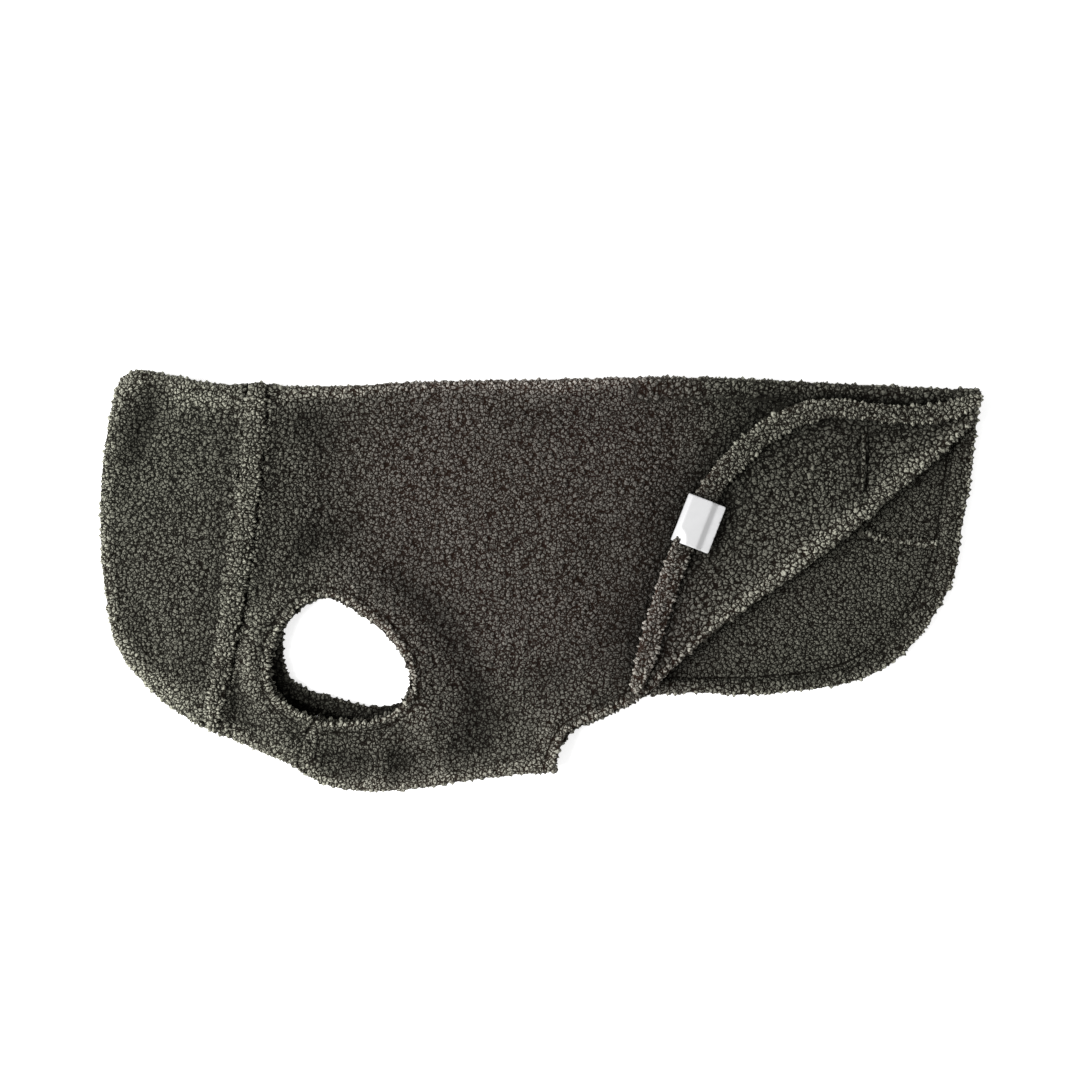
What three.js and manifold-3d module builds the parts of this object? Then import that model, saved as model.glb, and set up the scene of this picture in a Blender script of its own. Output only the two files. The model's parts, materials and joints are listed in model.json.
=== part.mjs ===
// Dog sweater in teddy fleece, laid out flat on its far side.
// Millimetres, +Z up. The neck is towards -X, the tail towards +X and the spine towards +Y.
// The near side lies on the far side, and its rear quarter is turned back over a slanting fold.
import * as THREE from "three";
import { mergeVertices } from "three/addons/utils/BufferGeometryUtils.js";
import Module from "manifold-3d";

const wasm = await Module();
wasm.setup();

// Driving sizes
const CLOTH = 3; // wall of the fleece with the pile of both its faces
const HEM = 2.4; // what a turned and stitched edge adds to the wall
const TAPE = 0.9; // satin label tape, folded double
const GAP = 0.3; // between pieces at a seam
const SEAT = 0.6; // between a hem and the curved wall it is turned under
const SLACK = 0.8; // air between the near and the far side where they lie closest
const SEAM_ROLL = 6; // depth of the seam allowances gathered in the neck seam
const LEG_HEM = 7; // width of the turned edge round a leg opening
const BELLY_HEM = 6.5; // width of the turned edge behind the belly
const TAIL_HEM = 10.5; // width of the far side's turned edge towards the tail
const HEM_TURN = 50.5; // along X: the belly hem ends and the rear hem begins
const BELLY_HEM_START = -90; // along Y: the belly hem begins above the fold of the belly line
const TAIL_HEM_END = 87; // along Y: the rear hem ends below the fold of the spine
const HIGH = 60; // above everything
const CLEAR = 140; // past every edge of the garment, for cutting
const FAR_TOP = CLOTH; // the far side lies on the floor, so its inner face is here
const SPLIT = FAR_TOP + 0.4; // height between the two sides, for cutting only one of them
const LAYERS = 2 * CLOTH + SLACK; // height of the near side's outer face where it lies closest
const COLLAR_TOP = 4 * CLOTH + 2 * GAP + SLACK; // two doubled walls on each other
const SEAM_PROUD = 2; // the neck seam stands this far above the collar

// Steps of the facets
const SIDE_STEPS = { collar: 8, neck: 9, body: 16 }; // from the spine to the belly line, on each side
const FOLD_STEPS = 4; // round the spine fold and round the belly fold
const BEND_STEPS = 6; // round the fold of the turned-back quarter
const FOLD_REACH = 9; // the height of a fold fades into the side over this length
const SPRING_REACH = 14; // the same for the fold of the turned-back quarter
const TONGUE = 6; // the turned-back quarter is let this far into the near side, to join it
const FLAP_SHARES = [0.12, 0.28, 0.52, 0.76, 1]; // sections of its cloth from the fold to the hem
const LIP_ANGLES = [40, 90, 140]; // round the free edge of the collar, in degrees
const CURVE_STEPS = { leg: 32, rear: 46, neck: 12, loose: 6, seam: 10 };

// Collar, from its free edge to the neck seam. Each row is one section of the flattened tube:
// its top point, its low point, how far its middle bows towards the tail, and its height at the folds.
const collarRows = [
  { topX: -211, topY: 99.5, lowX: -212.5, lowY: -34, bow: -8.5, edge: 14.4 },
  { topX: -208.5, topY: 103.5, lowX: -209, lowY: -40, bow: -8.2, edge: 14.6 },
  { topX: -198, topY: 105.5, lowX: -199, lowY: -52.5, bow: -6.6, edge: 15 },
  { topX: -185, topY: 102, lowX: -187, lowY: -63.5, bow: -4.2, edge: 15.2 },
  { topX: -171, topY: 99.2, lowX: -177.5, lowY: -70, bow: -1.6, edge: 15.4 },
  { topX: -158, topY: 97.6, lowX: -172, lowY: -73, bow: 0.8, edge: 15.6 },
  { topX: -146.8, topY: 97.4, lowX: -168.8, lowY: -74, bow: 2.5, edge: 15.6 },
];

// Neck seam, a raised roll between the collar and the body.
const neckSeamRows = [
  { topX: -146.5, topY: 97.6, lowX: -168.5, lowY: -74.3, bow: 2.5, edge: 16 },
  { topX: -144, topY: 98.4, lowX: -167, lowY: -75.4, bow: 3, edge: 17.6 },
  { topX: -139, topY: 98.4, lowX: -163.5, lowY: -77, bow: 3.6, edge: 17.4 },
  { topX: -136.2, topY: 97.6, lowX: -161.6, lowY: -77.2, bow: 4, edge: 15.6 },
];

// Body, from the neck seam to past the tail. Behind the belly its low points lie past the rear hem,
// which cuts them off.
const bodyRows = [
  { topX: -135.9, topY: 97.2, lowX: -161.3, lowY: -77.3, bow: 4, edge: 14 },
  { topX: -128, topY: 96.8, lowX: -147, lowY: -84, bow: 3.2, edge: 12.6 },
  { topX: -119, topY: 96.6, lowX: -135, lowY: -89.5, bow: 2.4, edge: 11.4 },
  { topX: -110, topY: 96.6, lowX: -123.5, lowY: -93.5, bow: 1.8, edge: 11 },
  { topX: -101, topY: 96.8, lowX: -115.5, lowY: -100.5, bow: 1.2, edge: 11 },
  { topX: -91, topY: 97.2, lowX: -104, lowY: -105, bow: 0.6, edge: 10.4 },
  { topX: -79, topY: 97.8, lowX: -88, lowY: -106.4, bow: 0, edge: 10 },
  { topX: -65, topY: 98.3, lowX: -71, lowY: -106.2, bow: 0, edge: 9.6 },
  { topX: -49, topY: 98.8, lowX: -52, lowY: -103.3, bow: 0, edge: 9.6 },
  { topX: -30, topY: 99.1, lowX: -32, lowY: -100.3, bow: 0, edge: 10 },
  { topX: -12, topY: 99.5, lowX: -12, lowY: -98.2, bow: 0, edge: 11 },
  { topX: 5, topY: 99.8, lowX: 5, lowY: -97.2, bow: 0, edge: 12 },
  { topX: 24, topY: 100.3, lowX: 24, lowY: -96, bow: 0, edge: 11 },
  { topX: 46, topY: 100.8, lowX: 46, lowY: -94, bow: 0, edge: 10 },
  { topX: 74, topY: 100.7, lowX: 74, lowY: -92, bow: 0, edge: 9.6 },
  { topX: 104, topY: 100, lowX: 104, lowY: -90, bow: 0, edge: 9.6 },
  { topX: 134, topY: 98.2, lowX: 134, lowY: -88, bow: 0, edge: 9.6 },
  { topX: 160, topY: 97, lowX: 160, lowY: -86, bow: 0, edge: 9.6 },
  { topX: 184, topY: 95.9, lowX: 184, lowY: -84, bow: 0, edge: 10 },
  { topX: 204, topY: 95, lowX: 204, lowY: -82, bow: 0, edge: 11 },
  { topX: 226, topY: 95.8, lowX: 226, lowY: -80, bow: 0, edge: 12 },
];

// Edges of the two leg openings, each a closed smooth curve through these points.
const nearLegPoints = [
  { x: -107, y: -9.3 },
  { x: -90, y: -18.3 },
  { x: -74.5, y: -31.8 },
  { x: -65.8, y: -50 },
  { x: -74, y: -65.5 },
  { x: -95, y: -69.8 },
  { x: -119, y: -66.5 },
  { x: -133.5, y: -53 },
  { x: -132.5, y: -33 },
  { x: -121.5, y: -16 },
];
const farLegPoints = [
  { x: -104, y: -5.5 },
  { x: -86, y: -14.5 },
  { x: -70, y: -29 },
  { x: -62, y: -48 },
  { x: -68, y: -60.5 },
  { x: -84, y: -64 },
  { x: -101, y: -60 },
  { x: -117, y: -55.5 },
  { x: -127, y: -49 },
  { x: -129.8, y: -35 },
  { x: -127.5, y: -20 },
  { x: -118, y: -8 },
];

// Where the near leg opening stands up loosest.
const looseLegPoints = [
  { x: -134, y: -48 },
  { x: -129, y: -60 },
  { x: -118, y: -67 },
];

// Rear hem, from the belly line round the far side to the tail.
const rearHemPoints = [
  { x: 6.5, y: -98 },
  { x: 8.6, y: -86 },
  { x: 14, y: -75.8 },
  { x: 30, y: -68.9 },
  { x: 43, y: -62.6 },
  { x: 55, y: -58.2 },
  { x: 76, y: -56.8 },
  { x: 100, y: -57.8 },
  { x: 128, y: -55.6 },
  { x: 152, y: -52 },
  { x: 169, y: -45.2 },
  { x: 184, y: -33 },
  { x: 197.5, y: -14 },
  { x: 205.5, y: 3 },
  { x: 208.5, y: 24 },
  { x: 212.5, y: 46 },
  { x: 215, y: 66 },
  { x: 216.5, y: 81 },
  { x: 219.5, y: 98 },
];

// Where the two ends of the body meet between the legs, from the leg opening past the belly line.
const chestSeamPoints = [
  { x: -106, y: -52 },
  { x: -113, y: -70 },
  { x: -119, y: -79 },
  { x: -121.5, y: -88 },
  { x: -123.5, y: -110 },
];

// Turned-back quarter. Each row is one section across it: its point on the fold, its point on the hem,
// the radius of the fold and the width of the hem.
const flapRows = [
  { foldX: 54, foldY: -57, hemX: 43, hemY: -56, bend: 3.5, hem: 5 },
  { foldX: 60, foldY: -49.5, hemX: 44.6, hemY: -44, bend: 3.9, hem: 8.5 },
  { foldX: 71, foldY: -39, hemX: 49, hemY: -28, bend: 4.3, hem: 10 },
  { foldX: 87, foldY: -25.4, hemX: 55, hemY: -8, bend: 4.5, hem: 10.5 },
  { foldX: 106, foldY: -12, hemX: 64, hemY: 17, bend: 4.6, hem: 10.5 },
  { foldX: 125, foldY: 1.4, hemX: 76, hemY: 43.5, bend: 4.6, hem: 10.5 },
  { foldX: 143, foldY: 14.6, hemX: 92, hemY: 63.5, bend: 4.6, hem: 11 },
  { foldX: 160, foldY: 28, hemX: 111, hemY: 80, bend: 4.6, hem: 11.5 },
  { foldX: 175, foldY: 41.6, hemX: 136, hemY: 89.2, bend: 4.5, hem: 11.5 },
  { foldX: 188, foldY: 52.6, hemX: 160, hemY: 87, bend: 4.4, hem: 11.5 },
  { foldX: 199, foldY: 62.4, hemX: 182, hemY: 85.6, bend: 4.2, hem: 11 },
  { foldX: 208.6, foldY: 71.4, hemX: 201, hemY: 88, bend: 3.9, hem: 9 },
  { foldX: 216, foldY: 80.6, hemX: 217.5, hemY: 92.4, bend: 3.5, hem: 5.5 },
];

// The darts, as tucks on the inside: width of the tuck along its line.
const nearDartRows = [
  { x: 159.6, y: 72.5, width: 4 },
  { x: 159.2, y: 60, width: 3.8 },
  { x: 158, y: 46, width: 3 },
  { x: 156.5, y: 36, width: 1.6 },
];
const farDartRows = [
  { x: 196.5, y: 17, width: 4 },
  { x: 184, y: 18.2, width: 3.8 },
  { x: 170, y: 20.2, width: 3 },
  { x: 157, y: 23, width: 1.6 },
];
const DART = 1.6; // height of a tuck

// The label: the corner where it crosses the hem's edge, the way it runs, its width along the hem,
// its length across it, how far it stays off the edge, and where it leaves the hem for the cloth.
const label = { x: 64.4, y: 19, turn: 1.2, width: 24.8, length: 19.4, clear: 1.2, crest: 11.2, foot: 14 };

// ---------- curves and tables ----------

function smoothCurve(points, closed, count) {
  const through = points.map(({ x, y }) => new THREE.Vector3(x, y, 0));
  return new THREE.CatmullRomCurve3(through, closed, "centripetal").getSpacedPoints(count);
}

// A row of a table at a place between its rows, each column by the Catmull-Rom rule.
function rowAt(rows, place) {
  const last = rows.length - 1;
  const index = Math.min(Math.floor(place), last - 1);
  const t = place - index;
  const [a, b, c, d] = [index - 1, index, index + 1, index + 2].map(
    (i) => rows[Math.min(Math.max(i, 0), last)],
  );
  const row = {};
  for (const key of Object.keys(b)) {
    const bend = 2 * a[key] - 5 * b[key] + 4 * c[key] - d[key];
    const twist = 3 * b[key] - a[key] - 3 * c[key] + d[key];
    row[key] = b[key] + 0.5 * t * (c[key] - a[key] + t * (bend + t * twist));
  }
  return row;
}

function resample(rows, steps) {
  const count = (rows.length - 1) * steps;
  return Array.from({ length: count + 1 }, (_, i) => rowAt(rows, i / steps));
}

function distanceTo(curve, x, y) {
  const place = new THREE.Vector3(x, y, 0);
  const nearest = new THREE.Vector3();
  const piece = new THREE.Line3();
  let best = Infinity;
  for (let i = 1; i < curve.length; i += 1) {
    piece.set(curve[i - 1], curve[i]).closestPointToPoint(place, true, nearest);
    best = Math.min(best, nearest.distanceTo(place));
  }
  return best;
}

// A place in plan along a section of a tube, from its top point.
function planPoint({ topX, topY, lowX, lowY, bow }, share) {
  const length = Math.hypot(lowX - topX, lowY - topY);
  const bowed = (4 * bow * share * (1 - share)) / length;
  const x = topX + (lowX - topX) * share - (lowY - topY) * bowed;
  const y = topY + (lowY - topY) * share + (lowX - topX) * bowed;
  return { x, y };
}

const nearLegEdge = smoothCurve(nearLegPoints, true, CURVE_STEPS.leg);
const farLegEdge = smoothCurve(farLegPoints, true, CURVE_STEPS.leg);
const looseLegLine = smoothCurve(looseLegPoints, false, CURVE_STEPS.loose);
const rearHemLine = smoothCurve(rearHemPoints, false, CURVE_STEPS.rear);
const bellyHemLine = rearHemLine.filter(({ x }) => x < HEM_TURN + 10);
const tailLine = rearHemLine.filter(({ y }) => y > TAIL_HEM_END - 25);
const neckPoints = [0, 0.5, 1].map((share) => planPoint(bodyRows[0], share));
const neckLine = smoothCurve(neckPoints, false, CURVE_STEPS.neck);

// What lies under the near side lifts it: along each line by this height, fading over this reach.
const lifts = [
  { line: neckLine, height: 5.6, reach: 19 },
  { line: nearLegEdge, height: 7, reach: 20 },
  { line: looseLegLine, height: 6.6, reach: 15 },
  { line: bellyHemLine, height: 6.8, reach: 19 },
  { line: tailLine, height: 3.2, reach: 16 },
];

// Height of the near side's outer face.
function nearTop(x, y) {
  const parts = lifts.map(({ line, height, reach }) => {
    const away = distanceTo(line, x, y) / reach;
    return height * Math.exp(-(away ** 2));
  });
  return LAYERS + Math.hypot(...parts);
}

// ---------- solids ----------

// Grid of points to triangles; either way round can close on itself.
function gridFaces(rowCount, columnCount, closedRows, closedColumns, start, flip) {
  const faces = [];
  const rowSteps = closedRows ? rowCount : rowCount - 1;
  const columnSteps = closedColumns ? columnCount : columnCount - 1;
  for (let i = 0; i < rowSteps; i += 1) {
    for (let j = 0; j < columnSteps; j += 1) {
      const nextRow = (i + 1) % rowCount;
      const nextColumn = (j + 1) % columnCount;
      const a = start + i * columnCount + j;
      const b = start + nextRow * columnCount + j;
      const c = start + nextRow * columnCount + nextColumn;
      const d = start + i * columnCount + nextColumn;
      faces.push(...(flip ? [a, c, b, a, d, c] : [a, b, c, a, c, d]));
    }
  }
  return faces;
}

function geometryOf(points, faces) {
  const geometry = new THREE.BufferGeometry();
  geometry.setAttribute("position", new THREE.Float32BufferAttribute(points.flatMap((p) => p.toArray()), 3));
  geometry.setIndex(faces);
  return geometry;
}

// Signed volume by the tetrahedra to the origin, to turn faces outwards.
function outward(geometry) {
  const { position } = geometry.attributes;
  const index = geometry.index.array;
  const corner = (i) => new THREE.Vector3().fromBufferAttribute(position, index[i]);
  let volume = 0;
  for (let i = 0; i < index.length; i += 3) {
    volume += corner(i).dot(corner(i + 1).cross(corner(i + 2)));
  }
  if (volume < 0) {
    geometry.setIndex(Array.from(index).reverse());
  }
  return geometry;
}

// A closed surface through loops of equally many points, the last joined to the first.
function ringSurface(loops) {
  const faces = gridFaces(loops.length, loops[0].length, true, true, 0, false);
  return outward(geometryOf(loops.flat(), faces));
}

// A thick sheet between two grids of equal size.
function thickSheet(upper, lower) {
  const rows = upper.length;
  const columns = upper[0].length;
  const count = rows * columns;
  const faces = [
    ...gridFaces(rows, columns, false, false, 0, false),
    ...gridFaces(rows, columns, false, false, count, true),
  ];
  const border = [];
  for (let i = 0; i < rows - 1; i += 1) {
    border.push(i * columns);
  }
  for (let j = 0; j < columns - 1; j += 1) {
    border.push((rows - 1) * columns + j);
  }
  for (let i = rows - 1; i > 0; i -= 1) {
    border.push(i * columns + columns - 1);
  }
  for (let j = columns - 1; j > 0; j -= 1) {
    border.push(j);
  }
  border.forEach((a, k) => {
    const b = border[(k + 1) % border.length];
    faces.push(b, a, a + count, b, a + count, b + count);
  });
  return outward(geometryOf([...upper.flat(), ...lower.flat()], faces));
}

function solidOf(geometry) {
  const bare = geometry.clone();
  bare.deleteAttribute("normal");
  bare.deleteAttribute("uv");
  const merged = mergeVertices(bare, 1e-4);
  return new wasm.Manifold(
    new wasm.Mesh({
      numProp: 3,
      vertProperties: merged.attributes.position.array,
      triVerts: new Uint32Array(merged.index.array),
    }),
  );
}

function geometryOfSolid(solid) {
  const { vertProperties, triVerts } = solid.getMesh();
  const geometry = new THREE.BufferGeometry();
  geometry.setAttribute("position", new THREE.Float32BufferAttribute(vertProperties, 3));
  geometry.setIndex(Array.from(triVerts));
  return geometry;
}

// A straight-sided cutter over a plan outline, between two heights.
function prism(outline, low, high) {
  const shape = new THREE.Shape(outline.map(({ x, y }) => new THREE.Vector2(x, y)));
  const geometry = new THREE.ExtrudeGeometry(shape, { depth: high - low, bevelEnabled: false, steps: 1 });
  geometry.translate(0, 0, low);
  return solidOf(geometry);
}

// ---------- flattened tubes ----------

// One loop round a flattened tube, set in from its outer face. The far side is flat on the floor.
function tubeLoop(row, inset, topOf, steps) {
  const length = Math.hypot(row.lowX - row.topX, row.lowY - row.topY);
  const radius = row.edge / 2;
  const at = (distance, z) => {
    const { x, y } = planPoint(row, distance / length);
    return new THREE.Vector3(x, y, z ?? nearHeight(x, y, distance));
  };
  function nearHeight(x, y, distance) {
    const fromFold = Math.min(distance, length - distance) - radius;
    const fade = Math.exp(-((fromFold / FOLD_REACH) ** 2));
    const rest = topOf(x, y);
    return rest + (row.edge - rest) * fade - inset;
  }
  const loop = [];
  for (let i = 0; i <= steps; i += 1) {
    loop.push(at(radius + ((length - row.edge) * i) / steps));
  }
  const bend = (centre, side) => {
    for (let i = 1; i < FOLD_STEPS; i += 1) {
      const angle = (Math.PI * i) / FOLD_STEPS;
      const out = (radius - inset) * Math.sin(angle);
      const up = side * (radius - inset) * Math.cos(angle);
      loop.push(at(centre + side * out, radius + up));
    }
  };
  bend(length - radius, 1);
  for (let i = steps; i >= 0; i -= 1) {
    loop.push(at(radius + ((length - row.edge) * i) / steps, inset));
  }
  bend(radius, -1);
  return loop;
}

// A flattened tube with a single wall, open at both ends.
function singleTube(rows, wall, topOf, steps) {
  const outer = rows.map((row) => tubeLoop(row, 0, topOf, steps));
  const inner = rows.map((row) => tubeLoop(row, wall, topOf, steps)).reverse();
  return ringSurface([...outer, ...inner]);
}

// The collar: a doubled wall, folded at its free edge and open between its layers at the neck seam.
function makeCollar() {
  const loop = (row, inset) => tubeLoop(row, inset, () => COLLAR_TOP, SIDE_STEPS.collar);
  const [free, lip, ...rest] = collarRows;
  const rows = [lip, ...rest];
  const doubled = 2 * CLOTH + GAP;
  const outer = rows.map((row) => loop(row, 0)).reverse();
  const inner = rows.map((row) => loop(row, doubled));
  const slitInner = rest.map((row) => loop(row, CLOTH + GAP)).reverse();
  const slitOuter = rest.map((row) => loop(row, CLOTH));
  const round = [];
  for (const angle of LIP_ANGLES.map(THREE.MathUtils.degToRad)) {
    const share = Math.sin(angle);
    const row = {};
    for (const key of Object.keys(free)) {
      row[key] = lip[key] + (free[key] - lip[key]) * share;
    }
    round.push(loop(row, (doubled / 2) * (1 - Math.cos(angle))));
  }
  return ringSurface([...outer, ...round, ...inner, ...slitInner, ...slitOuter]);
}

function makeNeckSeam() {
  const last = neckSeamRows.length - 1;
  const loops = (inset) =>
    neckSeamRows.map((row, i) => {
      const proud = i === 0 || i === last ? 0.6 : SEAM_PROUD;
      return tubeLoop(row, inset, () => COLLAR_TOP + proud, SIDE_STEPS.neck);
    });
  return ringSurface([...loops(0), ...loops(SEAM_ROLL).reverse()]);
}

// ---------- body with its turned-back quarter ----------

// The vertical plane across the turned-back quarter at one of its rows.
function flapSection(row) {
  const fold = new THREE.Vector2(row.foldX, row.foldY);
  const hem = new THREE.Vector2(row.hemX, row.hemY);
  const width = fold.distanceTo(hem);
  const inwards = hem.clone().sub(fold).divideScalar(width);
  const place = (w) => fold.clone().addScaledVector(inwards, w);
  const rootAt = place(row.bend);
  const rootTop = nearTop(rootAt.x, rootAt.y);
  const spring = 2 * row.bend - 2 * CLOTH - GAP;
  const topAt = (w) => {
    const { x, y } = place(w);
    const fade = Math.exp(-(((w - row.bend) / SPRING_REACH) ** 2));
    return nearTop(x, y) + GAP + CLOTH + spring * fade;
  };
  const at = (w, z) => new THREE.Vector3(place(w).x, place(w).y, z);
  return { row, width, rootTop, topAt, at, place };
}

const flapSections = resample(flapRows, 2).map(flapSection);

function flapFaces() {
  const insideFace = [];
  const outsideFace = [];
  for (const { row, width, rootTop, topAt, at } of flapSections) {
    const centre = rootTop - CLOTH + row.bend;
    const tongue = row.bend + TONGUE;
    const inside = [at(tongue, rootTop - CLOTH * 0.6)];
    const outside = [at(tongue, rootTop - CLOTH * 0.4)];
    for (let i = 0; i <= BEND_STEPS; i += 1) {
      const angle = Math.PI * (i / BEND_STEPS - 0.5);
      const small = row.bend - CLOTH;
      inside.push(at(row.bend * (1 - Math.cos(angle)), centre + row.bend * Math.sin(angle)));
      outside.push(at(row.bend - small * Math.cos(angle), centre + small * Math.sin(angle)));
    }
    for (const share of FLAP_SHARES) {
      const w = row.bend + (width - row.hem - row.bend) * share;
      inside.push(at(w, topAt(w)));
      outside.push(at(w, topAt(w) - CLOTH));
    }
    inside.push(at(width, topAt(width)));
    outside.push(at(width, topAt(width) - CLOTH));
    insideFace.push(inside);
    outsideFace.push(outside);
  }
  return { insideFace, outsideFace };
}

function makeBody({ insideFace, outsideFace }) {
  let body = solidOf(singleTube(bodyRows, CLOTH, nearTop, SIDE_STEPS.body));
  const [start, end] = [rearHemLine[0], rearHemLine.at(-1)];
  const front = [
    { x: end.x, y: CLEAR },
    { x: -CLEAR * 2, y: CLEAR },
    { x: -CLEAR * 2, y: -CLEAR },
    { x: start.x, y: -CLEAR },
  ];
  body = body.intersect(prism([...rearHemLine, ...front], -HIGH, HIGH));
  const bendLine = flapSections.map(({ row, place }) => place(row.bend));
  const behind = [
    { x: end.x + 6, y: end.y },
    { x: CLEAR * 2, y: end.y },
    { x: CLEAR * 2, y: -CLEAR },
    { x: start.x + 14, y: -CLEAR },
    { x: start.x + 14, y: start.y + 4 },
  ];
  body = body.subtract(prism([...bendLine, ...behind], SPLIT, HIGH));
  body = body.subtract(prism(nearLegEdge.slice(0, -1), SPLIT, HIGH));
  body = body.subtract(prism(farLegEdge.slice(0, -1), -HIGH, SPLIT));
  const seam = smoothCurve(chestSeamPoints, false, CURVE_STEPS.seam);
  const slit = [...seam, ...seam.map(({ x, y }) => ({ x: x - GAP, y })).reverse()];
  body = body.subtract(prism(slit, -HIGH, HIGH));
  return geometryOfSolid(body.add(solidOf(thickSheet(insideFace, outsideFace))));
}

// ---------- turned edges, darts and label ----------

// Across a turned edge: share of its width in from the edge, and share of its height.
const roundedEdge = [
  { across: 0, height: 0.55 },
  { across: 0.2, height: 1 },
  { across: 0.8, height: 1 },
  { across: 1, height: 0.45 },
];

// Unit directions to the left of a curve.
function leftOf(curve, closed) {
  const last = curve.length - 1;
  return curve.map((_, i) => {
    const before = curve[closed ? (i + last) % (last + 1) : Math.max(i - 1, 0)];
    const after = curve[closed ? (i + 1) % (last + 1) : Math.min(i + 1, last)];
    return new THREE.Vector2(before.y - after.y, after.x - before.x).normalize();
  });
}

// A turned edge lying on the far side's inner face, to the left of a line. widthAt takes a place on it.
function hemOnFar(line, widthAt) {
  const left = leftOf(line, false);
  const face = (level) =>
    line.map((p, i) =>
      roundedEdge.map(({ across, height }) => {
        const away = across * widthAt(p);
        const z = FAR_TOP + GAP + level * height * HEM;
        return new THREE.Vector3(p.x + left[i].x * away, p.y + left[i].y * away, z);
      }),
    );
  return thickSheet(face(1), face(0));
}

// The same under the near side, whose inner face seatAt gives.
function hemUnderNear(line, widthAt, seatAt) {
  const left = leftOf(line, false);
  const face = (level) =>
    line.map((p, i) =>
      roundedEdge.map(({ across, height }) => {
        const away = across * widthAt(p);
        const x = p.x + left[i].x * away;
        const y = p.y + left[i].y * away;
        return new THREE.Vector3(x, y, seatAt(x, y) - SEAT - level * height * HEM);
      }),
    );
  return thickSheet(face(0), face(1));
}

// A turned edge round a leg opening; heightAt gives its seat and its free face there.
function legHem(edge, heightAt) {
  const line = edge.slice(0, -1);
  const left = leftOf(line, true);
  const loops = line.map((p, i) => {
    const place = ({ across, height }, level) => {
      const x = p.x + left[i].x * across * LEG_HEM;
      const y = p.y + left[i].y * across * LEG_HEM;
      return new THREE.Vector3(x, y, heightAt(x, y, level * height));
    };
    const free = roundedEdge.map((corner) => place(corner, 1));
    const seat = [roundedEdge.at(-1), roundedEdge[0]].map((corner) => place(corner, 0));
    return [...free, ...seat];
  });
  return ringSurface(loops);
}

// On the far side the turned edge narrows from the tail round the corner to the belly.
function rearHemWidth({ x, y }) {
  const towardsTail = THREE.MathUtils.smoothstep(x + 0.6 * y, 100, 215);
  return THREE.MathUtils.lerp(BELLY_HEM, TAIL_HEM, towardsTail);
}

// The rear hem of the near quarter lies on the turned-back quarter, made from its sections.
function rearHemNearFace(level) {
  return flapSections.map(({ row, width, topAt, at }) =>
    roundedEdge.map(({ across, height }) => {
      const edge = topAt(width);
      const root = topAt(width - row.hem);
      const seat = edge + (root - edge) * across + SEAT;
      return at(width - across * row.hem, seat + level * height * HEM);
    }),
  );
}

// Height of a grid of points over a place in plan, on its facets; undefined beside it.
function heightOver(grid, x, y) {
  const place = new THREE.Vector3(x, y, 0);
  const weights = new THREE.Vector3();
  const flat = (p) => new THREE.Vector3(p.x, p.y, 0);
  for (let i = 1; i < grid.length; i += 1) {
    for (let j = 1; j < grid[i].length; j += 1) {
      const [a, b, c, d] = [grid[i - 1][j - 1], grid[i][j - 1], grid[i][j], grid[i - 1][j]];
      for (const corners of [[a, b, c], [a, c, d]]) {
        const [p, q, r] = corners.map(flat);
        const found = THREE.Triangle.getBarycoord(place, p, q, r, weights);
        if (found && Math.min(weights.x, weights.y, weights.z) > -1e-6) {
          return weights.x * corners[0].z + weights.y * corners[1].z + weights.z * corners[2].z;
        }
      }
    }
  }
  return undefined;
}

// A tuck along a line: highest in the middle, seated on what heightAt gives.
function makeDart(rows, heightAt) {
  const line = resample(rows, 3);
  const left = leftOf(line, false);
  const face = (level) =>
    line.map((p, i) =>
      [-1, -0.3, 0.3, 1].map((side) => {
        const x = p.x + (left[i].x * side * p.width) / 2;
        const y = p.y + (left[i].y * side * p.width) / 2;
        const height = Math.abs(side) < 1 ? DART : DART / 3;
        return new THREE.Vector3(x, y, heightAt(x, y) + GAP + level * height);
      }),
    );
  return thickSheet(face(1), face(0));
}

// The label: up past the edge of the turned-back quarter, over its hem and down onto the cloth.
function makeLabel(flapGrid, hemGrid) {
  const along = new THREE.Vector2(Math.cos(label.turn), Math.sin(label.turn));
  const inwards = new THREE.Vector2(along.y, -along.x);
  const under = [];
  const over = [];
  for (const share of [0, 1 / 3, 2 / 3, 1]) {
    const foot = new THREE.Vector2(label.x, label.y).addScaledVector(along, label.width * share);
    const at = (reach, z) => {
      const place = foot.clone().addScaledVector(inwards, reach);
      return new THREE.Vector3(place.x, place.y, z);
    };
    const seat = (reach) => {
      const { x, y } = at(reach, 0);
      return (heightOver(hemGrid, x, y) ?? heightOver(flapGrid, x, y)) + SEAT;
    };
    const onHem = seat(HEM);
    const offHem = seat(label.crest / 2);
    const below = nearTop(foot.x, foot.y) + GAP;
    under.push([
      at(-label.clear, below),
      at(-label.clear, onHem - HEM),
      at(0.5, onHem),
      at(label.crest, offHem),
      at(label.foot, seat(label.foot)),
      at(label.length - TAPE, seat(label.length)),
    ]);
    over.push([
      at(-label.clear - TAPE, below),
      at(-label.clear - TAPE, onHem - HEM + TAPE),
      at(0, onHem + TAPE),
      at(label.crest + TAPE / 2, offHem + TAPE),
      at(label.foot + TAPE / 2, seat(label.foot) + TAPE),
      at(label.length - TAPE, seat(label.length) + TAPE),
    ]);
  }
  return thickSheet(over, under);
}

// ---------- the garment ----------

const fleece = new THREE.MeshStandardMaterial({ color: 0x3f3d37, roughness: 1, metalness: 0 });
const fleeceEdge = new THREE.MeshStandardMaterial({ color: 0x48463f, roughness: 1, metalness: 0 });
const satin = new THREE.MeshStandardMaterial({ color: 0xe4e3e2, roughness: 0.45, metalness: 0 });

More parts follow.
